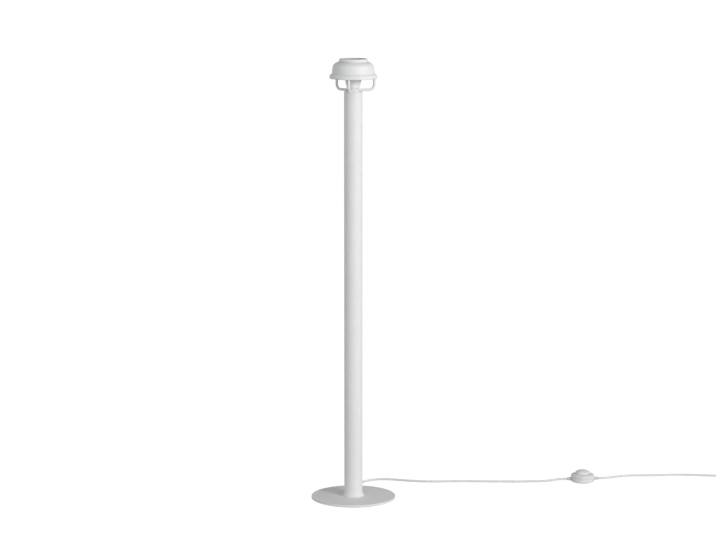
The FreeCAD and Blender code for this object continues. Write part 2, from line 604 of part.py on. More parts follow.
def shade():
    skirt_top = SKIRT_BOTTOM + SKIRT_HEIGHT
    shoulder = SKIRT_BOTTOM + SHOULDER_HEIGHT
    outer_bulge = (SHOULDER_RADIUS + SHOULDER_IN * SHOULDER_BULGE_OUT,
                   skirt_top + (shoulder - skirt_top) * SHOULDER_BULGE_UP)
    slanted = SHEET * math.sqrt(0.5)
    inner_bulge = (outer_bulge[0] - slanted, outer_bulge[1] - slanted)
    dome = turned((SKIRT_RADIUS, SKIRT_BOTTOM), ((SKIRT_TOP_RADIUS, skirt_top),),
                  (outer_bulge, (SHOULDER_RADIUS, shoulder)),
                  *lines((CROWN_RADIUS, CROWN), (DOME_HOLE_RADIUS, CROWN), (DOME_HOLE_RADIUS, CROWN - SHEET),
                         (CROWN_RADIUS - SLOPE_TUCK, CROWN - SHEET),
                         (SHOULDER_RADIUS - SHOULDER_TUCK, shoulder - SHEET)),
                  (inner_bulge, (SKIRT_TOP_RADIUS - SHEET, skirt_top)),
                  ((SKIRT_RADIUS - SHEET * SKIRT_SLANT, SKIRT_BOTTOM),))
    write("shade_dome", dome)

    through = DOME_HOLE_RADIUS - SHEET_GAP
    under = CROWN - SHEET - SHEET_GAP
    lip = NECK_TOP_RADIUS + NECK_LIP
    neck = turned((through - NECK_WALL, under - NECK_CATCH),
                  *lines((through + NECK_CATCH_OUT, under - NECK_CATCH), (through + NECK_CATCH_OUT, under),
                         (through, under), (through, CROWN + SEAT), (NECK_FOOT_RADIUS, CROWN + SEAT),
                         (NECK_TOP_RADIUS, LAMP_TOP - 2 * NECK_LIP)),
                  ((lip, LAMP_TOP - NECK_LIP), (NECK_TOP_RADIUS, LAMP_TOP)),
                  *lines((NECK_TOP_RADIUS - NECK_WALL, LAMP_TOP), (through - NECK_WALL, CROWN - SHEET)))
    write("shade_neck", neck)


# ---- lampholder ----

def lampholder():
    low = HOLDER_BOTTOM
    hole = NIPPLE_DIAMETER / 2 + FIT
    wall = HOLDER_WALL
    taper_top = low + HOLDER_TAPER_HEIGHT
    inner_low = HOLDER_LOW_RADIUS - wall
    cup = turned((hole, low), ((HOLDER_FOOT_RADIUS, low),),
                 ((HOLDER_LOW_RADIUS - HOLDER_FOOT_TUCK, low + HOLDER_FOOT_ROUND),
                  (HOLDER_LOW_RADIUS, low + HOLDER_LOW_HEIGHT)),
                 *lines((HOLDER_RADIUS, taper_top), (HOLDER_RADIUS, HOLDER_SPLIT),
                        (HOLDER_RADIUS - wall, HOLDER_SPLIT), (HOLDER_RADIUS - wall, taper_top),
                        (inner_low, low + HOLDER_LOW_HEIGHT + HOLDER_STEP),
                        (inner_low - HOLDER_FLOOR, low + HOLDER_FLOOR), (hole, low + HOLDER_FLOOR)))
    write("lampholder_cup", cup)

    flange_low = HOLDER_SPLIT + SEAT
    flange_top = flange_low + INSERT_FLANGE
    ring_top = HOLDER_SPLIT + SKIRT_RING_HEIGHT
    rebate = HOLDER_RADIUS - SKIRT_RING_REBATE
    skirt_bore = INSERT_RADIUS + SKIRT_RING_ROOM
    lip_radius = THREAD_RADIUS + LIP_OUTSIDE
    edge = ring_top - SKIRT_RING_EDGE
    skirt = turned((rebate, flange_low), *lines((HOLDER_RADIUS, flange_low), (HOLDER_RADIUS, edge)),
                   rounded((HOLDER_RADIUS, edge), (HOLDER_RADIUS, ring_top),
                           (HOLDER_RADIUS - SKIRT_RING_EDGE, ring_top)),
                   *lines((lip_radius, ring_top), (lip_radius, ring_top - SKIRT_RING_LIP),
                          (skirt_bore, ring_top - SKIRT_RING_LIP), (skirt_bore, flange_top + SEAT),
                          (rebate, flange_top + SEAT)))
    write("lampholder_skirt", skirt)

    floor_top = flange_low + INSERT_FLOOR
    insert_low = flange_low - INSERT_SPIGOT
    insert_top = ring_top - SKIRT_RING_LIP - SEAT
    well = THREAD_RADIUS + THREAD_WALL + FIT
    ledge = floor_top + CONTACT_WELL_DEPTH
    spigot = HOLDER_RADIUS - wall - INSERT_ROOM
    flange = rebate - INSERT_FLANGE_ROOM
    insert = turned((0, insert_low),
                    *lines((spigot, insert_low), (spigot, flange_low), (flange, flange_low),
                           (flange, flange_top), (INSERT_RADIUS, flange_top), (INSERT_RADIUS, insert_top),
                           (well, insert_top), (well, ledge), (CONTACT_WELL_RADIUS, ledge),
                           (CONTACT_WELL_RADIUS, floor_top), (0, floor_top)))
    block = Part.makeBox(BLOCK_LENGTH, BLOCK_WIDTH, BLOCK_HEIGHT,
                         V(-BLOCK_LENGTH / 2, -BLOCK_WIDTH / 2, insert_low - BLOCK_HEIGHT))
    insert = insert.fuse(block)
    screw_height = insert_low - BLOCK_HEIGHT / 2
    face = -BLOCK_WIDTH / 2
    screws = []
    leads = []
    for side in (-1, 1):
        x = side * BLOCK_LENGTH * BLOCK_SCREW_SHARE
        start = V(x, face - TERMINAL_HEAD_HEIGHT, screw_height)
        tip = V(x, face + TERMINAL_DEPTH, screw_height)
        head = rod_between(start, V(x, face, screw_height), TERMINAL_HEAD_RADIUS)
        shank = rod_between(start, tip, TERMINAL_SHANK_RADIUS)
        insert = insert.cut(rod_between(start, tip + V(0, SEAT, 0), TERMINAL_SHANK_RADIUS + FIT))
        screws.append(head.fuse(shank))
        leads.append(rod_between(V(side * LEAD_APART, 0, low + CABLE_RISE + LEAD_END_ROOM),
                                 V(x, 0, insert_low - BLOCK_HEIGHT - LEAD_END_ROOM), LEAD_DIAMETER / 2))
    write("lampholder_insert", insert)
    write("lampholder_terminal_screws", Part.makeCompound(screws))
    write("lampholder_leads", Part.makeCompound(leads))

    shell_low = ledge + SEAT
    shell = cylinder(THREAD_RADIUS + THREAD_WALL, shell_low, shell_low + THREAD_LENGTH)
    write("lampholder_thread_shell", shell.cut(cylinder(THREAD_RADIUS, shell_low, shell_low + THREAD_LENGTH)))
    length, width, thickness = CONTACT_STRIP
    strip_low = floor_top + SEAT
    foot_x = TONGUE_ROOT_X + thickness - length
    foot = Part.makeBox(length, width, thickness, V(foot_x, -width / 2, strip_low))
    tongue = Part.makeBox(TONGUE_LENGTH, width, thickness)
    tongue.rotate(V(0, 0, 0), V(0, 1, 0), -TONGUE_SLOPE)
    tongue.translate(V(TONGUE_ROOT_X, -width / 2, strip_low))
    write("lampholder_contact", foot.fuse(tongue))


# ---- foot switch ----

def at_switch(shape):
    """Carries a piece drawn about the switch's own centre to its place on the floor."""
    return moved(about_z(shape, SWITCH_TURN), SWITCH_X, SWITCH_Y, 0)


def foot_switch():
    outer = SWITCH_RADIUS
    inner = SWITCH_RADIUS - SWITCH_WALL
    floor = SWITCH_PAD
    shadow = SWITCH_SHADOW
    low_top = SWITCH_SPLIT - shadow / 2
    lip = outer - SWITCH_LIP
    foot = outer - SWITCH_FOOT_ROUND
    lower = turned((0, floor), ((foot, floor),),
                   rounded((foot, floor), (outer, floor), (outer, floor + SWITCH_FOOT_ROUND)),
                   *lines((outer, low_top - SWITCH_LIP), (lip, low_top), (inner, low_top),
                          (inner, CONTACT_FLOOR), (0, CONTACT_FLOOR)))
    up_low = SWITCH_SPLIT + shadow / 2
    sleeve = BUTTON_RADIUS + BUTTON_CLEARANCE
    sleeve_low = BUTTON_FOOT + BUTTON_FLANGE_THICKNESS + BUTTON_STOP_ROOM
    sleeve_back = sleeve + SLEEVE_WALL
    edge_in = outer - SWITCH_EDGE_IN
    upper = turned((inner, up_low),
                   *lines((lip, up_low), (outer, up_low + SWITCH_LIP), (outer, SWITCH_WALL_TOP)),
                   rounded((outer, SWITCH_WALL_TOP), (outer, SWITCH_EDGE_TOP), (edge_in, SWITCH_EDGE_TOP)),
                   *lines((sleeve + CROWN_LEDGE, SWITCH_CROWN), (sleeve, SWITCH_CROWN), (sleeve, sleeve_low),
                          (sleeve_back, sleeve_low), (sleeve_back, SWITCH_CROWN - SWITCH_WALL),
                          (inner, SWITCH_EDGE_TOP - SWITCH_ROOF)))
    neck_hole = RELIEF_NECK_RADIUS + FIT
    for side in (-1, 1):
        lower = lower.cut(rod_between(V(side * (inner - PAST), 0, INLET_HEIGHT),
                                      V(side * (outer + PAST), 0, INLET_HEIGHT), neck_hole))
    screw_radius = SWITCH_SCREW_DIAMETER / 2
    head_low = floor + SWITCH_SCREW_SUNK
    sunk_top = floor + SWITCH_SCREW_SINK
    post_low = low_top - POST_SPLIT
    tip = SWITCH_EDGE_TOP - SWITCH_SCREW_COVER
    screws = []
    for side in (-1, 1):
        y = side * SWITCH_SCREW_CIRCLE
        lower = lower.fuse(cylinder(POST_RADIUS, CONTACT_FLOOR, post_low, 0, y))
        lower = lower.cut(cylinder(screw_radius + FIT, floor, low_top, 0, y))
        lower = lower.cut(cylinder(SWITCH_SCREW_HEAD_RADIUS + FIT, floor, sunk_top, 0, y))
        post = cylinder(POST_RADIUS, post_low + SEAT, SWITCH_EDGE_TOP, 0, y)
        upper = upper.fuse(post.cut(cylinder(screw_radius + FIT, floor, tip + SEAT, 0, y)))
        head = cylinder(SWITCH_SCREW_HEAD_RADIUS, head_low, sunk_top - SEAT, 0, y)
        cross = Part.makeBox(CROSS_LENGTH, DRIVER_SLOT, CROSS_DEPTH,
                             V(-CROSS_LENGTH / 2, y - DRIVER_SLOT / 2, head_low))
        cross = cross.fuse(Part.makeBox(DRIVER_SLOT, CROSS_LENGTH, CROSS_DEPTH,
                                        V(-DRIVER_SLOT / 2, y - CROSS_LENGTH / 2, head_low)))
        screws.append(head.fuse(cylinder(screw_radius, head_low, tip, 0, y)).cut(cross))
    write("switch_lower_shell", at_switch(lower))
    write("switch_upper_shell", at_switch(upper))
    write("switch_case_screws", at_switch(Part.makeCompound(screws)))
    pad_radius = outer - SWITCH_PAD_INSET
    pad_ring = cylinder(pad_radius, 0, SWITCH_PAD).cut(cylinder(pad_radius - SWITCH_PAD_WIDTH, 0, SWITCH_PAD))
    write("switch_pad", at_switch(pad_ring))
    button_and_works()
    cord_reliefs()


def button_and_works():
    wall = BUTTON_RADIUS - BUTTON_WALL
    edge = BUTTON_TOP - BUTTON_DOME_RISE
    flange_top = BUTTON_FOOT + BUTTON_FLANGE_THICKNESS
    flange = BUTTON_RADIUS + BUTTON_FLANGE
    middle_share, middle_drop = BUTTON_ROOF_MIDDLE
    button = turned((0, BUTTON_TOP),
                    ((BUTTON_RADIUS / 2, BUTTON_TOP - BUTTON_DOME_MIDDLE),
                     (BUTTON_RADIUS - BUTTON_EDGE_IN, edge)),
                    ((BUTTON_RADIUS - BUTTON_EDGE_TUCK, edge - BUTTON_EDGE_DROP),
                     (BUTTON_RADIUS, edge - BUTTON_EDGE_ROUND)),
                    *lines((BUTTON_RADIUS, flange_top), (flange, flange_top), (flange, BUTTON_FOOT),
                           (wall, BUTTON_FOOT), (wall, edge - BUTTON_ROOF_SIDE)),
                    ((BUTTON_RADIUS * middle_share, BUTTON_TOP - middle_drop),
                     (BUTTON_PAD_RADIUS, BUTTON_TOP - BUTTON_ROOF)),
                    *lines((BUTTON_PAD_RADIUS, BUTTON_PAD_HEIGHT), (0, BUTTON_PAD_HEIGHT)))
    plunger_radius = PLUNGER_DIAMETER / 2
    socket_top = BUTTON_PAD_HEIGHT + BUTTON_SOCKET
    button = button.cut(cylinder(plunger_radius + FIT, BUTTON_PAD_HEIGHT - PAST, socket_top))
    write("switch_button", at_switch(button))
    plunger = cylinder(plunger_radius, PLUNGER_TIP + PLUNGER_POINT, socket_top - SEAT)
    plunger = plunger.fuse(Part.makeCone(plunger_radius - PLUNGER_POINT, plunger_radius, PLUNGER_POINT,
                                         V(0, 0, PLUNGER_TIP), UP))
    write("switch_plunger", at_switch(plunger))

    block = Part.makeBox(CONTACT_LENGTH, CONTACT_WIDTH, CONTACT_TOP - CONTACT_FLOOR - SEAT,
                         V(-CONTACT_LENGTH / 2, -CONTACT_WIDTH / 2, CONTACT_FLOOR + SEAT))
    well_floor = PLUNGER_TIP - BUTTON_TRAVEL - WELL_BELOW
    block = block.cut(cylinder(plunger_radius + PLUNGER_ROOM, well_floor, CONTACT_TOP))
    terminals = []
    share_along, share_across = CONTACT_SCREW_SHARES
    head_top = CONTACT_TOP + CONTACT_HEAD_HEIGHT
    tip = CONTACT_TOP - CONTACT_SCREW_DEPTH
    for x in (-CONTACT_LENGTH * share_along, CONTACT_LENGTH * share_along):
        for y in (-CONTACT_WIDTH * share_across, CONTACT_WIDTH * share_across):
            block = block.cut(cylinder(TERMINAL_SHANK_RADIUS + FIT, tip - SEAT, CONTACT_TOP, x, y))
            head = cylinder(TERMINAL_HEAD_RADIUS, CONTACT_TOP + SEAT, head_top, x, y)
            screw = head.fuse(cylinder(TERMINAL_SHANK_RADIUS, tip, head_top, x, y))
            slot = Part.makeBox(2 * TERMINAL_HEAD_RADIUS, DRIVER_SLOT, DRIVER_SLOT,
                                V(x - TERMINAL_HEAD_RADIUS, y - DRIVER_SLOT / 2, head_top - DRIVER_SLOT))
            terminals.append(screw.cut(slot))
    write("switch_contact_block", at_switch(block))
    write("switch_terminal_screws", at_switch(Part.makeCompound(terminals)))

    write("switch_return_spring", at_switch(swept(spring_edges(), SPRING_WIRE / 2)))


def spring_point(turns):
    low = CONTACT_TOP + SPRING_WIRE / 2 + SPRING_ROOM
    high = BUTTON_PAD_HEIGHT - SPRING_WIRE / 2 - SPRING_ROOM
    angle = 2 * math.pi * turns
    height = low + (high - low) * turns / SPRING_TURNS
    return V(SPRING_RADIUS * math.cos(angle), SPRING_RADIUS * math.sin(angle), height)


def spring_edges():
    """Quarter turns of a plain helix, each as two arcs that join at a common tangent."""
    marks = [k / 4 for k in range(int(SPRING_TURNS * 4) + 1)]
    edges = []
    for a, b in zip(marks, marks[1:]):
        edges += biarc(spring_point(a), heading_of(spring_point, a),
                       spring_point(b), heading_of(spring_point, b))
    return edges


def cord_reliefs():
    """Tapered strain relief each side of the switch, and the cord tails with their leads inside."""
    wall_face = math.sqrt((SWITCH_RADIUS - SWITCH_WALL) ** 2 - RELIEF_FLANGE_RADIUS ** 2) - 2 * SEAT
    inner_end = wall_face - RELIEF_FLANGE_THICKNESS - RELIEF_INSIDE
    bore = CORD_RADIUS + CABLE_ROOM
    flange_low = wall_face - RELIEF_FLANGE_THICKNESS
    outside = SWITCH_RADIUS + SEAT
    relief = turned((bore, inner_end),
                    *lines((RELIEF_NECK_RADIUS, inner_end), (RELIEF_NECK_RADIUS, flange_low),
                           (RELIEF_FLANGE_RADIUS, flange_low), (RELIEF_FLANGE_RADIUS, wall_face),
                           (RELIEF_NECK_RADIUS, wall_face), (RELIEF_NECK_RADIUS, outside),
                           (RELIEF_ROOT_RADIUS, outside),
                           (RELIEF_ROOT_RADIUS, SWITCH_RADIUS + RELIEF_ROOT_LENGTH),
                           (RELIEF_TIP_RADIUS, RELIEF_REACH), (bore, RELIEF_REACH)))
    tail = cylinder(CORD_RADIUS, inner_end, RELIEF_REACH)
    lead_start = CONTACT_LENGTH / 2 + SEAT
    tail_leads = [rod_between(V(y, 0, lead_start), V(y, 0, inner_end - SEAT), LEAD_DIAMETER / 2)
                  for y in (-TAIL_LEAD_APART, TAIL_LEAD_APART)]
    tails = []
    for side, name in ((-1, "switch_inlet_relief"), (1, "switch_outlet_relief")):
        write(name, at_switch(moved(laid_along_x(relief, side), 0, 0, INLET_HEIGHT)))
        tails += [moved(laid_along_x(piece, side), 0, 0, INLET_HEIGHT) for piece in [tail] + tail_leads]
    write("switch_cord_tails", at_switch(Part.makeCompound(tails)))


def laid_along_x(shape, side):
    """Lays a piece turned about Z down along +X or -X, its own X across the floor."""
    copy = about_z(shape, 90)
    copy.rotate(V(0, 0, 0), V(0, 1, 0), 90 * side)
    return copy


# ---- cord ----

def beyond_switch(side, distance):
    """Point on the switch's own line, a distance out from the end of one strain relief."""
    turn = math.radians(SWITCH_TURN)
    reach = side * (RELIEF_REACH + distance)
    return (SWITCH_X + reach * math.cos(turn), SWITCH_Y + reach * math.sin(turn), INLET_HEIGHT)


def switch_end(side):
    return beyond_switch(side, 0)


def route_to_switch():
    return [(0, GLAND_TIP_Y, EXIT_HEIGHT), (0, 72, EXIT_HEIGHT), (1.5, 96, 29), (5, 119, 16.5),
            (10, 140, 6.8), (18, 160, CORD_LIE), (31, 180, CORD_LIE), (49, 198, CORD_LIE),
            (75, 208.5, CORD_LIE),
            (106, 206.5, CORD_LIE), (143, 194, CORD_LIE), (185, 183, CORD_LIE), (229, 178.5, CORD_LIE),
            (275, 183, CORD_LIE), (322, 185, CORD_LIE), (372, 181.5, CORD_LIE), (420, 180, CORD_LIE),
            (465, 179, CORD_LIE), (508, 182, CORD_LIE), (543, 183.5, 3.2), (566, 186.6, 5.4),
            beyond_switch(-1, 19), switch_end(-1)]


def route_to_coil():
    return [switch_end(1), beyond_switch(1, 19), (735, 214, 6.8), (753, 233, 4.5), (774, 247.5, 3.1),
            (803, 254, CORD_LIE), (842, 254.5, CORD_LIE), (885, 258, CORD_LIE), (930, 263.5, CORD_LIE),
            (975, 261, CORD_LIE), (1018, 252, 3.1), (1060, COIL_Y + COIL_OUTER_RADIUS, COIL_LIE),
            (COIL_X - CORD_DIAMETER, COIL_Y + COIL_OUTER_RADIUS, COIL_LIE)]


def route_to_plug():
    top = COIL_LIE + COIL_PITCH
    x = COIL_X + COIL_OUTER_RADIUS
    return [(x, COIL_Y - CORD_DIAMETER, top), (x, COIL_Y - 22, top), (x + 0.4, COIL_Y - 41, 7.2),
            (x - 0.5, COIL_Y - 60, 4.6), (PLUG_X, PLUG_Y + 20, PLUG_THICKNESS / 2),
            (PLUG_X, PLUG_Y, PLUG_THICKNESS / 2)]


def run_and_arc_edges(points, name):
    """Straight runs joined by tangent arcs, each as large as its two runs allow. Prints the arcs' radii."""
    corners = [V(*point) for point in points]
    edges = []
    radii = []
    here = corners[0]
    for k in range(1, len(corners) - 1):
        before = corners[k] - corners[k - 1]
        after = corners[k + 1] - corners[k]
        reach = 0.45 * min(before.Length, after.Length)
        turn = before.getAngle(after)
        radius = reach / math.tan(turn / 2)
        radii.append(radius)
        into = V(before).normalize()
        out = V(after).normalize()
        start = corners[k] - into * reach
        end = corners[k] + out * reach
        inwards = V(out - into).normalize()
        middle = corners[k] + inwards * (radius / math.cos(turn / 2) - radius)
        edges.append(Part.LineSegment(here, start).toShape())
        edges.append(Part.Arc(start, middle, end).toShape())
        here = end
    edges.append(Part.LineSegment(here, corners[-1]).toShape())
    print(f"{name} radii: {', '.join(f'{radius:.0f}' for radius in radii)}; least {min(radii):.1f} mm")
    return edges


def cord_stretch(points, name):
    edges = run_and_arc_edges(points, name)
    solid = swept(edges, CORD_RADIUS)
    length = sum(edge.Length for edge in edges)
    print(f"{name}: {length:.1f} mm long, volume over section times length "
          f"{solid.Volume / (length * math.pi * CORD_RADIUS ** 2):.4f}")
    write(name, solid)
    return length


def coil_point(turns):
    """Centre of the coiled cord after a number of turns. It winds in along the lower layer, climbs in the
    half turn at the middle, and winds out along the upper layer."""
    middle = COIL_TURNS / 2
    angle = math.radians(COIL_FIRST_ANGLE) - 2 * math.pi * turns
    radius = COIL_INNER_RADIUS + COIL_PITCH * abs(turns - middle)
    climbed = min(1.0, max(0.0, (turns - middle) / 0.5 + 0.5))
    height = COIL_LIE + COIL_PITCH * climbed * climbed * (3 - 2 * climbed)
    return V(COIL_X + radius * math.cos(angle), COIL_Y + radius * math.sin(angle), height)


def heading_of(curve, turns):
    """Direction of a curve of turns, from two points close on each side."""
    step = 1e-4
    return (curve(turns + step) - curve(turns - step)).normalize()


def biarc(start, out, end, into):
    """Two arcs that join at a common tangent, from start along out to end along into."""
    chord = end - start
    both = out + into
    a = 2 * (1 - out.dot(into))
    b = 2 * chord.dot(both)
    reach = (math.sqrt(b * b + 4 * a * chord.dot(chord)) - b) / (2 * a)
    first = start + out * reach
    last = end - into * reach
    joint = (first + last) * 0.5
    return [arc_from(start, first, joint), arc_from(joint, last, end)]


def arc_from(start, corner, end):
    """Arc that leaves start and meets end along the two sides of a corner."""
    halfway = (start + end) * 0.5
    rise = corner - halfway
    half = (end - start).Length / 2
    lift = half * half / rise.Length
    radius = math.sqrt(half * half + lift * lift)
    sagitta = radius - lift
    return Part.Arc(start, halfway + V(rise).normalize() * sagitta, end).toShape()


def coil():
    steps = int(round(COIL_TURNS * 4))
    marks = [COIL_TURNS * k / steps for k in range(steps + 1)]
    points = [coil_point(turns) for turns in marks]
    headings = [heading_of(coil_point, turns) for turns in marks]
    headings[0] = V(1, 0, 0)
    headings[-1] = V(0, -1, 0)
    edges = [Part.LineSegment(points[0] - headings[0] * CORD_DIAMETER, points[0]).toShape()]
    for k in range(steps):
        edges += biarc(points[k], headings[k], points[k + 1], headings[k + 1])
    edges.append(Part.LineSegment(points[-1], points[-1] + headings[-1] * CORD_DIAMETER).toShape())
    length = sum(edge.Length for edge in edges)
    solid = swept(edges, CORD_RADIUS)
    gap = coil_gap(edges)
    print(f"cord_coil: {length:.1f} mm long, {COIL_TURNS} turns, least gap to itself {gap:.2f} mm")
    write("cord_coil", solid)
    return length


def coil_gap(edges):
    """Least distance between the surfaces of two places on the coil that are at least half a turn apart."""
    samples = []
    travelled = 0.0
    for edge in edges:
        count = max(2, int(edge.Length / 1.5))
        for k in range(count):
            at = edge.FirstParameter + (edge.LastParameter - edge.FirstParameter) * k / count
            samples.append((travelled + edge.Length * k / count, edge.valueAt(at)))
        travelled += edge.Length
    apart = math.pi * COIL_INNER_RADIUS
    gaps = [(a - b).Length for i, (s, a) in enumerate(samples)
            for (t, b) in samples[i + 1:] if t - s > apart]
    return min(gaps) - CORD_DIAMETER


def cord_ties():
    """Two thin straps round the coil's section."""
    low_radius = COIL_INNER_RADIUS - CORD_RADIUS - TIE_GAP - TIE_INSIDE
    high_radius = COIL_OUTER_RADIUS + CORD_RADIUS + TIE_GAP
    low = COIL_LIE - CORD_RADIUS - TIE_GAP
    high = COIL_LIE + COIL_PITCH + CORD_RADIUS + TIE_GAP
    across = high_radius - low_radius
    rise = high - low
    straps = []
    for angle in TIE_ANGLES:
        hollow = Part.makeBox(across, TIE_WIDTH + 2 * PAST, rise, V(low_radius, -TIE_WIDTH / 2 - PAST, low))
        body = Part.makeBox(across + 2 * TIE_THICKNESS, TIE_WIDTH, rise + 2 * TIE_THICKNESS,
                            V(low_radius - TIE_THICKNESS, -TIE_WIDTH / 2, low - TIE_THICKNESS))
        straps.append(moved(about_z(body.cut(hollow), angle), COIL_X, COIL_Y, 0))
    write("cord_ties", Part.makeCompound(straps))


# ---- plug ----

def runs_along_x(edge):
    return edge.BoundBox.YLength < 1 and edge.BoundBox.ZLength < 1


def plug():
    """Flat two-pin plug lying on the floor with its pins pointing to -Y."""
    height = PLUG_THICKNESS / 2
    rear = -PLUG_RELIEF_LENGTH
    front = rear - PLUG_LENGTH
    waist = PLUG_WIDTH / 2
    nose = PLUG_NOSE_WIDTH / 2
    neck = PLUG_RELIEF_ROOT_RADIUS + PLUG_NECK_OUT
    half = [V(neck, rear, 0), V(waist, rear - PLUG_SHOULDER, 0), V(waist, rear - PLUG_WAIST, 0),
            V(nose, front, 0)]
    other = [V(-point.x, point.y, 0) for point in reversed(half)]
    body = Part.Face(Part.makePolygon(half + other + half[:1])).extrude(V(0, 0, PLUG_THICKNESS))
    body = body.makeFillet(PLUG_EDGE, [edge for edge in body.Edges if not runs_along_x(edge)])
    pins = []
    for side in (-1, 1):
        x = side * PIN_SPACING / 2
        inner = V(x, front + PIN_ROOT, height)
        face = V(x, front, height)
        tip = V(x, front - PIN_LENGTH + PIN_POINT, height)
        pin = rod_between(inner, face, PIN_ROOT_DIAMETER / 2).fuse(rod_between(face, tip, PIN_DIAMETER / 2))
        end = Part.makeCone(PIN_DIAMETER / 2, PIN_DIAMETER / 2 - PIN_POINT, PIN_POINT, tip, V(0, -1, 0))
        pins.append(moved(pin.fuse(end), PLUG_X, PLUG_Y, 0))
        body = body.cut(rod_between(inner + V(0, SEAT, 0), face, PIN_ROOT_DIAMETER / 2 + FIT))
    write("plug_body", moved(body, PLUG_X, PLUG_Y, 0))
    write("plug_pins", Part.makeCompound(pins))
    relief_end = PLUG_RELIEF_LENGTH - SEAT
    relief = turned((0, 0), *lines((PLUG_RELIEF_TIP_RADIUS, 0), (PLUG_RELIEF_ROOT_RADIUS, relief_end),
                                   (0, relief_end)))
    relief.rotate(V(0, 0, 0), V(1, 0, 0), 90)
    write("plug_strain_relief", moved(relief, PLUG_X, PLUG_Y, height))


os.makedirs("parts", exist_ok=True)
base()
stem()
cord_exit()
nipple()
cage()
shade()
lampholder()
foot_switch()
first = cord_stretch(route_to_switch(), "cord_to_switch")
second = cord_stretch(route_to_coil(), "cord_to_coil") + coil()
second += cord_stretch(route_to_plug(), "cord_to_plug")
cord_ties()
plug()
print(f"lamp to switch {first:.0f} mm, switch to plug {second:.0f} mm, lamp height {LAMP_TOP:.1f} mm")
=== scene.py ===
import bmesh
import bpy
import numpy as np
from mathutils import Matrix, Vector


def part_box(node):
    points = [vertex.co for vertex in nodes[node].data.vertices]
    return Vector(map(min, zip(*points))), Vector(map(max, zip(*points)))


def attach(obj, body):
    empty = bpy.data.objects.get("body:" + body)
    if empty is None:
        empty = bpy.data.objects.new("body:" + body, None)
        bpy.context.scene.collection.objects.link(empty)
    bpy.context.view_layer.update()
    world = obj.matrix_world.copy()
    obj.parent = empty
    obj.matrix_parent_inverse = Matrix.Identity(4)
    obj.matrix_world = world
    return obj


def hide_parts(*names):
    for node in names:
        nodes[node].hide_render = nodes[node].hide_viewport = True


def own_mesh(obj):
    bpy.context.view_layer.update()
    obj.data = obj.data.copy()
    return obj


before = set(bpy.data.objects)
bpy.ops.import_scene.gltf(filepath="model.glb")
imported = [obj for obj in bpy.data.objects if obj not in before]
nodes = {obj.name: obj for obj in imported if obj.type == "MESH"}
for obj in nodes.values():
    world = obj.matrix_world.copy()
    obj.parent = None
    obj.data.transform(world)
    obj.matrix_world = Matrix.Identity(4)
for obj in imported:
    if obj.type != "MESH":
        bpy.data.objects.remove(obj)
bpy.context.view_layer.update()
MM = 0.001


# ---- base: pad, plate and screws ----
# The foot is a disc of laser-cut steel with broken edges, powder-coated white. A ring of grey rubber is glued
# under it, and three countersunk screws come up through it from below into the stem's foot.

class Wire:
    """An output of a node in a finish. Sums and products of wires and numbers add Math nodes."""

    def __init__(self, finish, socket):
        self.finish = finish
        self.socket = socket

    def maths(self, operation, *values):
        return self.finish.node("Math", {"operation": operation}, dict(enumerate(values)))

    def __add__(self, other):
        return self.maths("ADD", self, other)

    def __radd__(self, other):
        return self.maths("ADD", other, self)

    def __sub__(self, other):
        return self.maths("SUBTRACT", self, other)

    def __rsub__(self, other):
        return self.maths("SUBTRACT", other, self)

    def __mul__(self, other):
        return self.maths("MULTIPLY", self, other)

    def __rmul__(self, other):
        return self.maths("MULTIPLY", other, self)

    def step(self, low, high):
        """0 under low, 1 over high, with a smooth rise between them."""
        limits = {"Value": self, "From Min": low, "From Max": high}
        return self.finish.node("MapRange", {"interpolation_type": "SMOOTHSTEP"}, limits)


class Finish:
    """A finish put together from shader nodes. Lengths are in metres."""

    def __init__(self, name, store=bpy.data.materials):
        self.material = store.new(name)
        self.material.use_nodes = True
        self.tree = self.material.node_tree
        self.tree.nodes.clear()

    def node(self, kind, settings=None, inputs=None, output=0):
        """Adds one node: its settings first, then the values or wires of its sockets."""
        made = self.tree.nodes.new("ShaderNode" + kind)
        for name, value in (settings or {}).items():
            setattr(made, name, value)
        for name, value in (inputs or {}).items():
            if isinstance(value, Wire):
                self.tree.links.new(value.socket, made.inputs[name])
            else:
                made.inputs[name].default_value = value
        return Wire(self, made.outputs[output]) if made.outputs else None

    def place(self):
        return self.node("TexCoord", output="Object")

    def along(self, axis):
        """Distance along one of the lamp's own axes, "X", "Y" or "Z"."""
        return self.node("SeparateXYZ", {}, {"Vector": self.place()}, output=axis)

    def clouds(self, size, detail=2.0, stretch=(1, 1, 1)):
        """Cloudy pattern, 0 to 1, with blots about `size` across, drawn out by `stretch` along each axis."""
        scale = tuple(1 / (size * share) for share in stretch)
        fitted = self.node("Mapping", {}, {"Vector": self.place(), "Scale": scale})
        return self.node("TexNoise", {}, {"Vector": fitted, "Scale": 1.0, "Detail": detail})

    def between(self, share, first, second):
        """Colour that goes from first to second with share. Each of the two is a colour or a wire."""
        first, second = (end if isinstance(end, Wire) else (*end, 1) for end in (first, second))
        return self.node("Mix", {"data_type": "RGBA"}, {0: share, 6: first, 7: second}, output=2)

    def relief(self, height, depth):
        """Normal of a surface that rises by `depth` metres where height goes from 0 to 1."""
        return self.node("Bump", {}, {"Height": height, "Distance": depth, "Strength": 1.0})

    def laid(self, sockets):
        surface = self.node("BsdfPrincipled", {}, sockets)
        self.node("OutputMaterial", {}, {"Surface": surface})
        return self.material


def give(material, *names):
    """Puts a finish on construction pieces as they stand."""
    for name in names:
        for place in nodes[name].material_slots:
            place.material = material


COAT_WHITE = (0.800, 0.802, 0.808)
COAT_SHADE = (0.762, 0.765, 0.774)


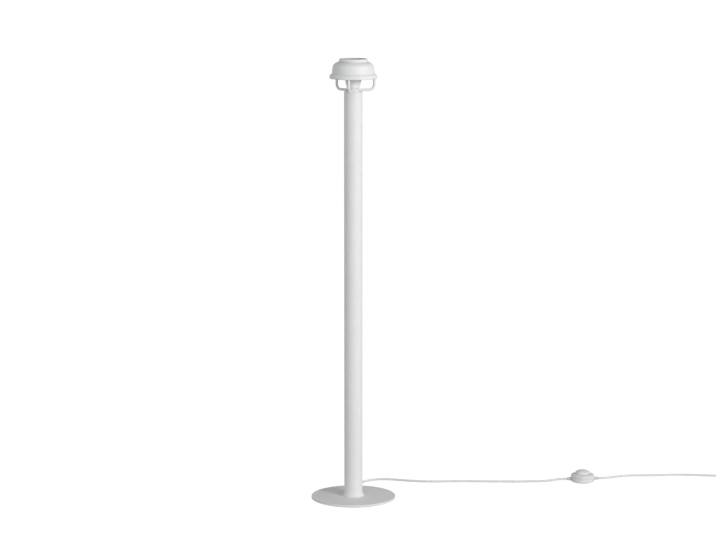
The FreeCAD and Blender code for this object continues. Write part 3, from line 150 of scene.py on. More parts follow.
def powder_coat(name, peel=1.7 * MM, depth=0.016 * MM, lay=(1, 1, 1), lay_depth=0.0):
    """White satin powder coat: the skin of a baked powder has a soft orange peel, and under it shows faintly
    the lay of the metal, as blots drawn out along `lay`."""
    coat = Finish(name)
    skin = coat.clouds(peel, detail=1.5)
    haze = coat.clouds(38 * MM, detail=4.0)
    metal = coat.clouds(2.4 * MM, detail=3.0, stretch=lay)
    specks = coat.clouds(0.9 * MM, detail=0.0).step(0.74, 0.80)
    height = skin + metal * (lay_depth / depth)
    return coat.laid({
        "Base Color": coat.between(haze.step(0.25, 0.8) * 0.8 + specks * 0.5, COAT_WHITE, COAT_SHADE),
        "Roughness": 0.44 + haze * 0.08 + skin * 0.05,
        "Specular IOR Level": 0.42,
        "Normal": coat.relief(height, depth),
    })


def pad_rubber():
    """Matt grey foam rubber with a fine pitted skin, dusty in places."""
    rubber = Finish("pad_rubber")
    pits = rubber.clouds(0.7 * MM, detail=3.0)
    dust = rubber.clouds(22 * MM, detail=5.0).step(0.45, 0.75)
    return rubber.laid({
        "Base Color": rubber.between(dust * 0.6, (0.16, 0.16, 0.165), (0.27, 0.265, 0.26)),
        "Roughness": 0.86 - dust * 0.08,
        "Normal": rubber.relief(pits, 0.08 * MM),
    })


def plated_steel(name, colour, dull, roughness):
    """Bright-plated steel: small even crystals, duller where it has been handled."""
    metal = Finish(name)
    crystals = metal.clouds(0.35 * MM, detail=2.0)
    handled = metal.clouds(5 * MM, detail=3.0).step(0.4, 0.7)
    return metal.laid({
        "Base Color": metal.between(handled, colour, dull),
        "Metallic": 1.0,
        "Roughness": roughness + crystals * 0.12 + handled * 0.1,
        "Normal": metal.relief(crystals, 0.01 * MM),
    })


zinc = plated_steel("zinc_plate", (0.66, 0.68, 0.71), (0.50, 0.51, 0.53), 0.24)
plate_coat = powder_coat("plate_coat", peel=1.9 * MM, lay=(9, 1, 1), lay_depth=0.006 * MM)
give(plate_coat, "base_plate")
give(pad_rubber(), "base_pad")
give(zinc, "base_plate_screws")


# ---- stem: tube, foot boss, foot collar and top cap ----
# The stem is one drawn steel tube. A steel boss welded into its foot takes the plate's screws, a thin spun
# collar flares out from the tube to hide that joint, and a turned cap closes the top with a fine seam.

def rounded(corners, steps=6):
    """Closed outline from (radius, height, rounding) corners. Each corner becomes an arc tangent to both of
    its sides: points of a circle between the directions from its centre to the two tangent points."""
    corner = np.array(corners, float)
    points = corner[:, :2]
    share = np.linspace(0, 1, steps + 1)[:, None]
    outline = []
    sides = zip(points, np.roll(points, 1, 0), np.roll(points, -1, 0), corner[:, 2])
    for here, before, after, rounding in sides:
        if rounding == 0:
            outline.append(here[None])
            continue
        back = (before - here) / np.linalg.norm(before - here)
        on = (after - here) / np.linalg.norm(after - here)
        half = np.arccos(np.clip(back @ on, -1, 1)) / 2
        centre = here + (back + on) / np.linalg.norm(back + on) * rounding / np.sin(half)
        first = here + back * rounding / np.tan(half) - centre
        last = here + on * rounding / np.tan(half) - centre
        turn = np.pi - 2 * half
        arc = np.sin((1 - share) * turn) * first + np.sin(share * turn) * last
        outline.append(centre + arc / np.sin(turn))
    return np.concatenate(outline)


def turned(outline, around=128):
    """Outline of (radius, height) turned about the lamp's axis: (r cos a, r sin a, z) at equal angles a."""
    angle = np.linspace(0, 2 * np.pi, around, endpoint=False)
    radius, height = np.asarray(outline, float).T
    return np.stack([np.outer(radius, np.cos(angle)), np.outer(radius, np.sin(angle)),
                     np.repeat(height[:, None], around, axis=1)], axis=-1)


def quads_of(grid, offset, ring):
    """Four-cornered faces between neighbours in a grid. Its columns join up, and its rows too in a ring."""
    index = np.arange(grid.shape[0] * grid.shape[1]).reshape(grid.shape[:2]) + offset
    right = np.roll(index, -1, axis=1)
    last = index.shape[0] if ring else index.shape[0] - 1
    faces = np.stack([index, right, np.roll(right, -1, axis=0), np.roll(index, -1, axis=0)], axis=-1)
    return faces[:last].reshape(-1, 4)


def piece(name, grids, material, slot, *stands_for, body="lamp", ring=True, crease=38.0, lay=None):
    """Object from grids of points, rows by columns, in the lamp's own frame. Points that coincide, as at a
    pole, are merged, and faces are turned outwards. `lay`, a vector for each point, becomes an attribute."""
    points = np.concatenate([grid.reshape(-1, 3) for grid in grids])
    starts = np.cumsum([0] + [grid.shape[0] * grid.shape[1] for grid in grids])
    faces = np.concatenate([quads_of(grid, start, ring) for grid, start in zip(grids, starts)])
    mesh = bpy.data.meshes.new(name)
    mesh.from_pydata(points, [], faces.tolist())
    if lay is not None:
        mesh.attributes.new("lay", "FLOAT_VECTOR", "POINT").data.foreach_set("vector", lay.ravel())
    work = bmesh.new()
    work.from_mesh(mesh)
    bmesh.ops.remove_doubles(work, verts=work.verts, dist=0.001 * MM)
    bmesh.ops.recalc_face_normals(work, faces=work.faces)
    work.to_mesh(mesh)
    work.free()
    mesh.shade_smooth()
    mesh.set_sharp_from_angle(angle=np.radians(crease))
    mesh.materials.append(material)
    made = bpy.data.objects.new(name, mesh)
    bpy.context.scene.collection.objects.link(made)
    even = made.modifiers.new("even_shading", "WEIGHTED_NORMAL")
    even.keep_sharp = True
    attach(made, body)
    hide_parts(*stands_for)
    return made


PLATE_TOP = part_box("base_plate")[1].z
STEM_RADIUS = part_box("stem_tube")[1].x
TUBE_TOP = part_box("stem_tube")[1].z
STEM_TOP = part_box("stem_top_cap")[1].z
BUSH_HOLE = 5.05 * MM                       # hole for the nipple through cap, hub and lampholder
COLLAR_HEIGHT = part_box("stem_foot_collar")[1].z - PLATE_TOP
COLLAR_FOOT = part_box("stem_foot_collar")[1].x
COLLAR_LIP = 0.12 * MM
COLLAR_EDGE = 0.8 * MM
FLARE_POWER = 3.25                          # how quickly the flare draws in above the foot


def collar_outline():
    """The flare: above an upright edge the width past the stem falls as (1 - t) to a power up its height."""
    share = np.linspace(0, 1, 40)
    height = PLATE_TOP + COLLAR_EDGE + (COLLAR_HEIGHT - COLLAR_EDGE) * share
    spread = COLLAR_FOOT - STEM_RADIUS - COLLAR_LIP
    radius = STEM_RADIUS + COLLAR_LIP + spread * (1 - share) ** FLARE_POWER
    inner = STEM_RADIUS + 0.05 * MM
    foot = [(inner, PLATE_TOP), (COLLAR_FOOT - 0.15 * MM, PLATE_TOP), (COLLAR_FOOT, PLATE_TOP + 0.15 * MM)]
    return np.concatenate([foot, np.stack([radius, height], axis=-1), [(inner, PLATE_TOP + COLLAR_HEIGHT)]])


CAP_SEAM = 0.4 * MM
CAP_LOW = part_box("stem_top_cap")[0].z
cap_outline = rounded([
    (BUSH_HOLE, STEM_TOP, 0), (STEM_RADIUS, STEM_TOP, 0.7 * MM), (STEM_RADIUS, TUBE_TOP + CAP_SEAM, 0),
    (STEM_RADIUS - CAP_SEAM, TUBE_TOP, 0), (STEM_RADIUS - 1.55 * MM, TUBE_TOP, 0),
    (STEM_RADIUS - 1.55 * MM, CAP_LOW, 0.4 * MM), (15 * MM, CAP_LOW, 0.4 * MM),
    (15 * MM, TUBE_TOP - 4 * MM, 1.0 * MM), (BUSH_HOLE, TUBE_TOP - 4 * MM, 0)])

stem_coat = powder_coat("stem_coat", lay=(1, 1, 30), lay_depth=0.010 * MM)
turned_coat = powder_coat("turned_coat", peel=1.5 * MM, lay=(4, 4, 1), lay_depth=0.004 * MM)
give(stem_coat, "stem_tube")
give(zinc, "stem_foot_boss")
piece("foot_collar", [turned(collar_outline())], turned_coat, "white_powder_coat", "stem_foot_collar")
piece("top_cap", [turned(cap_outline)], turned_coat, "white_powder_coat", "stem_top_cap")


# ---- cord exit in the back of the stem ----
# A soft white bush is nutted into the stem's wall low at the back. Its tail tapers out along the cord and is
# slotted left and right, then above and below, in turn, so that it bends without a sharp fold.

def soft_plastic(name, colour, shade):
    """Soft satin plastic: a fine matt grain from the mould, and a faint yellowing in patches."""
    soft = Finish(name)
    grain = soft.clouds(0.45 * MM, detail=2.0)
    patch = soft.clouds(14 * MM, detail=3.0)
    return soft.laid({
        "Base Color": soft.between(patch.step(0.3, 0.75), colour, shade),
        "Roughness": 0.52 + grain * 0.14,
        "Specular IOR Level": 0.4,
        "Normal": soft.relief(grain, 0.012 * MM),
    })


def slotted_tail(shank, start, end, root, tip, bore, slots=6, depth=0.9 * MM, around=72):
    """Strain relief about its own axis. After the outline of its shank the radius falls evenly from root to
    tip. Each slot is a flat-bottomed dip along the axis, and fades out at two bridges round it, which stand a
    quarter turn further on from slot to slot. The bore comes back inside. Returns (across, across, along)
    points."""
    solid = 0.10
    share = np.linspace(0, 1, 14 * slots + 1)
    along = np.concatenate([shank[:, 0], start + (end - start) * share, [end, shank[0, 0]]])
    radius = np.concatenate([shank[:, 1], root + (tip - root) * share, [bore, bore]])
    angle = np.linspace(0, 2 * np.pi, around, endpoint=False)
    place = np.clip((share - solid) / (1 - 1.6 * solid), 0, 0.9999) * slots
    number = np.floor(place)
    dip = np.clip((np.cos(2 * np.pi * (place - number - 0.5)) + 0.15) / 0.6, 0, 1)
    bridge = np.clip((np.abs(np.sin(angle[None] + number[:, None] * np.pi / 2)) - 0.22) / 0.16, 0, 1)
    cut = np.zeros((len(along), around))
    cut[len(shank):len(shank) + len(share)] = depth * dip[:, None] * bridge
    wide = radius[:, None] - cut
    length = np.repeat(along[:, None], around, 1)
    return np.stack([wide * np.cos(angle), wide * np.sin(angle), length], axis=-1)


def laid_along(grid, origin, heading):
    """Points drawn about a +Z axis, laid down so that the axis runs level along heading from origin."""
    ahead = np.array([np.cos(heading), np.sin(heading), 0])
    side = np.array([-np.sin(heading), np.cos(heading), 0])
    up = np.array([0, 0, 1])
    return np.array(origin) + grid[..., 0:1] * side + grid[..., 1:2] * up + grid[..., 2:3] * ahead


CORD_RADIUS = 2.9 * MM
CORD_BORE = 3.15 * MM
EXIT_HEIGHT = (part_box("cord_gland")[0].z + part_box("cord_gland")[1].z) / 2
EXIT_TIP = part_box("cord_gland")[1].y
EXIT_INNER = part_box("cord_gland")[0].y
FLANGE_RADIUS = 7.5 * MM
FLANGE_FACE = STEM_RADIUS + 2.5 * MM


def exit_bush():
    """The bush along +Y: a threaded shank, a flange with a rounded edge, hollowed behind to the stem by
    y = the stem's own round at that x, and the slotted tail."""
    thread = np.linspace(0, 1, 29)
    reach = EXIT_INNER + (STEM_RADIUS - 4 * MM - EXIT_INNER) * thread
    shank = np.stack([reach, 4.75 * MM + 0.22 * MM * np.cos(2 * np.pi * 4.5 * thread)], axis=-1)
    turn = np.linspace(0, np.pi / 2, 7)
    edge = 0.8 * MM
    flange = np.array([(STEM_RADIUS - 3 * MM, 4.95 * MM), (STEM_RADIUS - 3 * MM, FLANGE_RADIUS)])
    rim = np.stack([FLANGE_FACE - edge + edge * np.sin(turn),
                    FLANGE_RADIUS - edge + edge * np.cos(turn)], axis=-1)
    shank = np.concatenate([shank, flange, rim])
    tail = slotted_tail(shank, FLANGE_FACE, EXIT_TIP, 5.5 * MM, 3.8 * MM, CORD_BORE, slots=8)
    bush = laid_along(tail, (0, 0, EXIT_HEIGHT), np.pi / 2)
    outside = np.hypot(bush[..., 0], bush[..., 2] - EXIT_HEIGHT) > 6 * MM
    round_stem = np.sqrt((STEM_RADIUS + 0.05 * MM) ** 2 - bush[..., 0] ** 2)
    bush[..., 1] = np.where(outside, np.maximum(bush[..., 1], round_stem), bush[..., 1])
    return bush


relief_plastic = soft_plastic("relief_plastic", (0.74, 0.74, 0.745), (0.70, 0.70, 0.69))
sheath = soft_plastic("cord_sheath", (0.78, 0.78, 0.785), (0.735, 0.735, 0.73))
piece("exit_bush", [exit_bush()], relief_plastic, "relief_plastic", "cord_gland")
give(zinc, "cord_gland_nut")
give(sheath, "inner_cable")


# ---- nipple: the threaded tube that clamps cage and lampholder to the cap ----
# A short zinc-plated threaded tube, with a washer and a nut under the cap and a nut inside the lampholder.

give(zinc, "threaded_nipple", "nipple_washer", "nipple_nuts")


# ---- cage: hub, three bent rods and rim ring ----
# Three bent steel rods are tenoned and brazed into a turned hub and up into the rim ring, and the whole cage
# is powder-coated in one go. Three slotted grub screws in the ring hold the shade.

HUB_RADIUS = 17 * MM
ROD_RADIUS = 3.5 * MM
TENON_RADIUS = 2.3 * MM
TENON_LENGTH = 7 * MM
ROD_BEND = 13.5 * MM
ROD_CIRCLE = 60 * MM
RIM_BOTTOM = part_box("arm_rod_front")[1].z - TENON_LENGTH
ROD_MIDDLE = STEM_TOP + ROD_RADIUS
BRAZE = 1.6 * MM
rod_turns = {"front": 258.5, "right": 18.5, "left": 138.5}


def braze_fillet(distance):
    """Extra radius of a hollow fillet, a quarter circle that meets the neighbour and runs out at BRAZE."""
    inside = np.clip(BRAZE - distance, 0, BRAZE)
    return BRAZE - np.sqrt(BRAZE ** 2 - inside ** 2)


def bent_rod(turn):
    """Round bar along a path in an upright plane: level from the hub, a quarter circle up, and upright to the
    ring, with a thinner tenon at each end. The braze widens it sideways at the hub and all round at the
    ring."""
    level = np.linspace(HUB_RADIUS + 0.05 * MM, ROD_CIRCLE - ROD_BEND, 40)
    bend = np.linspace(0, np.pi / 2, 33)[1:-1]
    upright = np.linspace(ROD_MIDDLE + ROD_BEND, RIM_BOTTOM - 0.05 * MM, 40)
    out = np.concatenate([[HUB_RADIUS - TENON_LENGTH] * 2, level[:1], level,
                          ROD_CIRCLE - ROD_BEND + ROD_BEND * np.sin(bend), [ROD_CIRCLE] * (len(upright) + 3)])
    high = np.concatenate([[ROD_MIDDLE] * (len(level) + 3), ROD_MIDDLE + ROD_BEND * (1 - np.cos(bend)),
                           upright, upright[-1:], [RIM_BOTTOM + TENON_LENGTH] * 2])
    tilt = np.concatenate([np.zeros(len(level) + 3), bend, np.full(len(upright) + 3, np.pi / 2)])
    radius = np.full(len(out), ROD_RADIUS)
    radius[[1, 2, -3, -2]] = TENON_RADIUS
    radius[[0, -1]] = 0
    full = radius == ROD_RADIUS
    at_ring = braze_fillet(RIM_BOTTOM - high) * full * (tilt > 1.5)
    at_hub = braze_fillet(out - HUB_RADIUS) * full * (tilt < 0.1)
    angle = np.linspace(0, 2 * np.pi, 40, endpoint=False)
    sideways = np.outer(radius + at_ring + at_hub, np.cos(angle))
    across = np.outer(radius + at_ring, np.sin(angle))
    plane = out[:, None] - across * np.sin(tilt)[:, None]
    height = high[:, None] + across * np.cos(tilt)[:, None]
    a = np.radians(turn)
    return np.stack([plane * np.cos(a) - sideways * np.sin(a),
                     plane * np.sin(a) + sideways * np.cos(a), height], axis=-1)


hub_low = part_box("cage_hub")[0].z
hub_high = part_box("cage_hub")[1].z
hub_outline = rounded([(BUSH_HOLE, hub_low, 0.3 * MM), (HUB_RADIUS, hub_low, 0.5 * MM),
                       (HUB_RADIUS, hub_high, 0.8 * MM), (BUSH_HOLE, hub_high, 0.3 * MM)])
cage_coat = powder_coat("cage_coat", peel=1.4 * MM, depth=0.018 * MM)
piece("hub", [turned(hub_outline, 96)], cage_coat, "white_powder_coat", "cage_hub")
for side, turn in rod_turns.items():
    piece("bent_rod_" + side, [bent_rod(turn)], cage_coat, "white_powder_coat", "arm_rod_" + side, ring=False)
give(cage_coat, "rim_ring")
give(zinc, "rim_grub_screws")


# ---- shade: dome and neck ----
# The dome is spun from steel sheet: a slightly tapered skirt, a full shoulder, a narrow crown round a hole.
# The neck is a short spun collar with a rolled lip, swaged into that hole. Both are powder-coated.

def spline(start, leave, arrive, end, steps=28):
    """Cubic curve from start to end, pulled towards leave and arrive: (1-t)^3, 3t(1-t)^2, 3t^2(1-t), t^3."""
    t = np.linspace(0, 1, steps)[:, None]
    return ((1 - t) ** 3 * np.array(start) + 3 * t * (1 - t) ** 2 * np.array(leave)
            + 3 * t ** 2 * (1 - t) * np.array(arrive) + t ** 3 * np.array(end))


def sheet_outline(outer, thickness):
    """Closed outline of a sheet: the outer line, and back along it moved in by the thickness."""
    way = np.gradient(outer, axis=0)
    way /= np.linalg.norm(way, axis=1)[:, None]
    inwards = np.stack([-way[:, 1], way[:, 0]], axis=-1)
    return np.concatenate([outer, (outer + inwards * thickness)[::-1]])


SHEET = 1.2 * MM
SKIRT_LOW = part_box("shade_dome")[0].z
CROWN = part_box("shade_dome")[1].z
SKIRT_TOP = SKIRT_LOW + 21.0 * MM
SKIRT_RADIUS = 57.9 * MM
SKIRT_TAPER = 1.7 * MM
SKIRT_SWELL = 0.1 * MM                      # how far the skirt bows out halfway up
skirt_share = np.linspace(0, 1, 14)[:-1]
skirt_radius = SKIRT_RADIUS - SKIRT_TAPER * skirt_share + SKIRT_SWELL * np.sin(np.pi * skirt_share)
skirt_line = np.stack([skirt_radius, SKIRT_LOW + (SKIRT_TOP - SKIRT_LOW) * skirt_share], axis=-1)
shoulder_line = spline((56.2 * MM, SKIRT_TOP), (55.4 * MM, SKIRT_TOP + 6.9 * MM),
                       (50.2 * MM, CROWN - 2.6 * MM), (42.4 * MM, CROWN - 0.02 * MM))
crown_line = np.array([(41.0 * MM, CROWN), (39.5 * MM, CROWN), (38.0 * MM, CROWN)])
dome_outline = sheet_outline(np.concatenate([skirt_line, shoulder_line, crown_line]), SHEET)

NECK_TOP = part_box("shade_neck")[1].z
NECK_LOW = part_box("shade_neck")[0].z
SWAGE_TOP = NECK_LOW + 1.6 * MM             # of the foot swaged out under the crown
GROOVE_LOW = CROWN + 0.05 * MM
GROOVE_HIGH = CROWN + 1.5 * MM
neck_outline = rounded([
    (36.5 * MM, NECK_LOW, 0.3 * MM), (39.5 * MM, NECK_LOW, 0.4 * MM), (39.5 * MM, SWAGE_TOP, 0.2 * MM),
    (37.9 * MM, SWAGE_TOP, 0), (37.9 * MM, GROOVE_LOW, 0), (38.3 * MM, GROOVE_LOW, 0.1 * MM),
    (38.1 * MM, GROOVE_HIGH, 0.2 * MM), (39.7 * MM, GROOVE_HIGH, 0.4 * MM),
    (37.5 * MM, NECK_TOP - 1.9 * MM, 0.5 * MM), (38.3 * MM, NECK_TOP - 1.7 * MM, 0.3 * MM),
    (38.3 * MM, NECK_TOP, 0.8 * MM), (36.0 * MM, NECK_TOP, 0.7 * MM), (36.5 * MM, CROWN - SHEET, 0)])


# Painted shade: a flat grey put into the colour, standing in for the shade inside the neck's opening.
PAINTED_SHADE_GREY = (0.50, 0.50, 0.505)
PAINTED_SHADE_BLEND = 0.3 * MM                        # either side of the radius where the painted shade begins


def spun_coat(name, painted_shade_within=0.0):
    """Powder coat over spun sheet: the tool's path shows as faint rings round the axis, so their height is a
    cloudy pattern of the distance from the axis less the height. Nearer the axis than the given radius the
    colour turns to a flat grey: painted shade, which stands in for the shade inside the neck."""
    coat = Finish(name)
    flat = coat.node("VectorMath", {"operation": "MULTIPLY"}, {0: coat.place(), 1: (1, 1, 0)})
    radius = coat.node("VectorMath", {"operation": "LENGTH"}, {0: flat}, output="Value")
    ring_place = (radius - coat.along("Z")) * (1 / (2.2 * MM))
    rings = coat.node("TexNoise", {"noise_dimensions": "1D"}, {"W": ring_place, "Scale": 1.0, "Detail": 2.0})
    skin = coat.clouds(1.6 * MM, detail=1.5)
    haze = coat.clouds(30 * MM, detail=4.0)
    full = coat.between(haze.step(0.25, 0.8) * 0.8, COAT_WHITE, COAT_SHADE)
    # Painted shade: inside the given radius the colour turns to that grey.
    unshaded = radius.step(painted_shade_within - PAINTED_SHADE_BLEND, painted_shade_within + PAINTED_SHADE_BLEND)
    return coat.laid({
        "Base Color": coat.between(unshaded, PAINTED_SHADE_GREY, full),
        "Roughness": 0.42 + haze * 0.08 + rings * 0.04,
        "Specular IOR Level": 0.42,
        "Normal": coat.relief(skin + rings * 0.5, 0.014 * MM),
    })


dome_coat = spun_coat("dome_coat")
# The neck's inside, within 36.8 mm of the axis, gets the painted shade.
neck_coat = spun_coat("neck_coat", painted_shade_within=36.8 * MM)
piece("spun_dome", [turned(dome_outline, 160)], dome_coat, "white_powder_coat", "shade_dome")
piece("rolled_neck", [turned(neck_outline, 144)], neck_coat, "white_powder_coat", "shade_neck")


# ---- lampholder ----
# A white moulded cup with a fluted skirt ring screwed over it. Inside are a glazed ceramic insert, a rolled
# nickel-plated thread shell, a sprung centre contact and two terminal screws with the cable's leads.

HOLDER_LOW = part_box("lampholder_cup")[0].z
HOLDER_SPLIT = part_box("lampholder_cup")[1].z
HOLDER_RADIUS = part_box("lampholder_cup")[1].x
RING_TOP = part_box("lampholder_skirt")[1].z
cup_outline = rounded([
    (BUSH_HOLE, HOLDER_LOW, 0), (14.7 * MM, HOLDER_LOW, 1.0 * MM),
    (17.3 * MM, HOLDER_LOW + 2.8 * MM, 1.6 * MM),
    (HOLDER_RADIUS, HOLDER_LOW + 20.5 * MM, 3.0 * MM), (HOLDER_RADIUS, HOLDER_SPLIT - 2.2 * MM, 0.15 * MM),
    (HOLDER_RADIUS - 0.5 * MM, HOLDER_SPLIT - 1.9 * MM, 0.1 * MM),
    (HOLDER_RADIUS - 0.5 * MM, HOLDER_SPLIT - 1.2 * MM, 0.1 * MM),
    (HOLDER_RADIUS, HOLDER_SPLIT - 0.9 * MM, 0.15 * MM), (HOLDER_RADIUS, HOLDER_SPLIT, 0.2 * MM),
    (HOLDER_RADIUS - 1.8 * MM, HOLDER_SPLIT, 0.2 * MM), (HOLDER_RADIUS - 1.8 * MM, HOLDER_LOW + 21 * MM, 0),
    (15.6 * MM, HOLDER_LOW + 4 * MM, 0.8 * MM), (13.4 * MM, HOLDER_LOW + 2.2 * MM, 0.5 * MM),
    (BUSH_HOLE, HOLDER_LOW + 2.2 * MM, 0)])


def fluted_ring(flutes=48, depth=0.55 * MM, around=384):
    """The skirt ring: its outline turned about the axis, with flutes cut in as depth times a cosine round the
    ring, which fade out under its top edge and above its foot."""
    outline = rounded([
        (20.5 * MM, HOLDER_SPLIT + 0.05 * MM, 0), (HOLDER_RADIUS, HOLDER_SPLIT + 0.05 * MM, 0.3 * MM),
        (HOLDER_RADIUS, RING_TOP, 1.2 * MM), (15.4 * MM, RING_TOP, 0.5 * MM),
        (15.4 * MM, RING_TOP - 2 * MM, 0.3 * MM),
        (18.95 * MM, RING_TOP - 2 * MM, 0), (18.95 * MM, HOLDER_SPLIT + 2.1 * MM, 0),
        (20.5 * MM, HOLDER_SPLIT + 2.1 * MM, 0)])
    outer = (outline[:, 0] > HOLDER_RADIUS - 0.01 * MM).nonzero()[0]
    foot, head = outline[outer[0]], outline[outer[-1]]
    wall = foot + (head - foot) * np.linspace(0, 1, 34)[1:-1, None]
    outline = np.concatenate([outline[:outer[0] + 1], wall, outline[outer[-1]:]])
    grid = turned(outline, around)
    height = grid[..., 2]
    angle = np.arctan2(grid[..., 1], grid[..., 0])
    above_foot = np.clip((height - HOLDER_SPLIT - 2.4 * MM) / MM, 0, 1)
    window = above_foot * np.clip((RING_TOP - 2.6 * MM - height) / MM, 0, 1)
    on_wall = np.hypot(grid[..., 0], grid[..., 1]) > HOLDER_RADIUS - 0.02 * MM
    cut = depth * (0.5 - 0.5 * np.cos(flutes * angle)) ** 0.7 * window * on_wall
    grid[..., 0] -= cut * np.cos(angle)
    grid[..., 1] -= cut * np.sin(angle)
    return grid


SHELL_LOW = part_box("lampholder_thread_shell")[0].z
SHELL_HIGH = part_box("lampholder_thread_shell")[1].z
THREAD_PITCH = 3.63 * MM
THREAD_MIDDLE = 13.25 * MM                  # radius halfway between crest and root
THREAD_DEPTH = 0.25 * MM
SHELL_SHEET = 0.18 * MM


def thread_shell(around=96):
    """Rolled thread in thin sheet: the radius swings as a cosine of height over pitch less the angle, so that
    the crests climb one pitch a turn, and dies away at both ends. The outer wall follows the inner one."""
    height = np.linspace(SHELL_LOW, SHELL_HIGH, 90)
    angle = np.linspace(0, 2 * np.pi, around, endpoint=False)
    fade = np.clip(np.minimum(height - SHELL_LOW, SHELL_HIGH - height) / (1.2 * MM), 0, 1)[:, None]
    swing = np.cos(2 * np.pi * height[:, None] / THREAD_PITCH - angle)
    inner = THREAD_MIDDLE + THREAD_DEPTH * swing * fade
    radius = np.concatenate([inner, (inner + SHELL_SHEET)[::-1]])
    height = np.concatenate([height, height[::-1]])
    return np.stack([radius * np.cos(angle), radius * np.sin(angle), np.repeat(height[:, None], around, 1)],
                    axis=-1)


def moulded(name, colour, shade, gloss, grain_size, grain_depth):
    """Hard moulded plastic: an etched grain of the mould, a slight mottle and an uneven gloss."""
    hard = Finish(name)
    grain = hard.clouds(grain_size, detail=1.0)
    mottle = hard.clouds(16 * MM, detail=4.0)
    return hard.laid({
        "Base Color": hard.between(mottle.step(0.25, 0.8), colour, shade),
        "Roughness": gloss + mottle * 0.08 + grain * 0.06,
        "Specular IOR Level": 0.45,
        "Normal": hard.relief(grain, grain_depth),
    })


def glazed_ceramic():
    """White steatite: clear glaze with a few iron specks over a finely pitted body."""
    ceramic = Finish("insert_ceramic")
    pits = ceramic.clouds(0.6 * MM, detail=4.0)
    specks = ceramic.clouds(1.3 * MM, detail=1.0).step(0.72, 0.76)
    return ceramic.laid({
        "Base Color": ceramic.between(specks, (0.80, 0.79, 0.76), (0.48, 0.42, 0.34)),
        "Roughness": 0.24 + pits * 0.2,
        "Normal": ceramic.relief(pits, 0.02 * MM),
    })


LEAD_BROWN = (0.19, 0.085, 0.04)
LEAD_BLUE = (0.05, 0.14, 0.42)


def coloured_leads():
    """Brown lead on the lamp's left, blue on its right, in glossy insulation with a faint drawn texture."""
    lead = Finish("lead_insulation")
    drawn = lead.clouds(0.5 * MM, detail=1.0)
    right = lead.along("X").step(-0.1 * MM, 0.1 * MM)
    return lead.laid({
        "Base Color": lead.between(right, LEAD_BROWN, LEAD_BLUE),
        "Roughness": 0.34 + drawn * 0.1,
        "Normal": lead.relief(drawn, 0.008 * MM),
    })


holder_plastic = moulded("holder_plastic", (0.88, 0.88, 0.875), (0.85, 0.85, 0.845), 0.34,
                         0.8 * MM, 0.005 * MM)
nickel = plated_steel("nickel_plate", (0.72, 0.69, 0.63), (0.58, 0.55, 0.49), 0.18)
brass = plated_steel("brass", (0.78, 0.60, 0.30), (0.60, 0.44, 0.20), 0.22)
piece("holder_cup", [turned(cup_outline, 96)], holder_plastic, "holder_plastic", "lampholder_cup")
piece("fluted_ring", [fluted_ring()], holder_plastic, "holder_plastic", "lampholder_skirt")
piece("thread_shell", [thread_shell()], nickel, "nickel_brass", "lampholder_thread_shell")
give(glazed_ceramic(), "lampholder_insert")
give(brass, "lampholder_terminal_screws", "lampholder_contact")
give(coloured_leads(), "lampholder_leads")


# ---- foot switch ----
# A round two-part case with a broad sprung button. The case halves meet in a shadow line and are screwed
# together from below, a rubber ring stands them on the floor, and slotted reliefs hold the cord each side.

SWITCH_CENTRE = (653 * MM, 196 * MM)
SWITCH_TURN = np.radians(5)
INLET_HEIGHT = 8 * MM
RELIEF_END = 44.5 * MM                      # from the switch's centre


def switch_relief():
    """Relief along its own axis from the switch's centre: a bush with a flange inside the wall, a neck
    through the wall and a short slotted tail outside."""
    shank = np.array([(23.6, 3.2), (23.6, 4.3), (27.9, 4.3), (27.9, 4.8), (30.1, 4.8), (30.1, 4.3),
                      (32.55, 4.3), (32.55, 4.9), (32.8, 5.2), (33.6, 5.25)]) * MM
    return slotted_tail(shank, 34.0 * MM, RELIEF_END, 5.15 * MM, 3.8 * MM, CORD_BORE,
                        slots=4, depth=0.85 * MM)


def switch_leads():
    """White sheath outside the bush, and brown and blue leads inside, split across the switch's own line."""
    tails = Finish("switch_leads")
    x = tails.along("X") - SWITCH_CENTRE[0]
    y = tails.along("Y") - SWITCH_CENTRE[1]
    along = x * float(np.cos(SWITCH_TURN)) + y * float(np.sin(SWITCH_TURN))
    across = y * float(np.cos(SWITCH_TURN)) - x * float(np.sin(SWITCH_TURN))
    drawn = tails.clouds(0.5 * MM, detail=1.0)
    lead = tails.between(across.step(-0.1 * MM, 0.1 * MM), LEAD_BROWN, LEAD_BLUE)
    sheathed = (along * along).step((23.4 * MM) ** 2, (23.6 * MM) ** 2)
    return tails.laid({
        "Base Color": tails.between(sheathed, lead, (0.78, 0.78, 0.785)),
        "Roughness": 0.4 + drawn * 0.12,
        "Normal": tails.relief(drawn, 0.008 * MM),
    })


SPRING_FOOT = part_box("switch_return_spring")[0].z
SPRING_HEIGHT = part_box("switch_return_spring")[1].z - SPRING_FOOT
SPRING_RADIUS = 5.9 * MM                    # to the middle of the wire
SPRING_WIRE = 0.45 * MM                     # the wire's own radius
SPRING_TURNS = 5


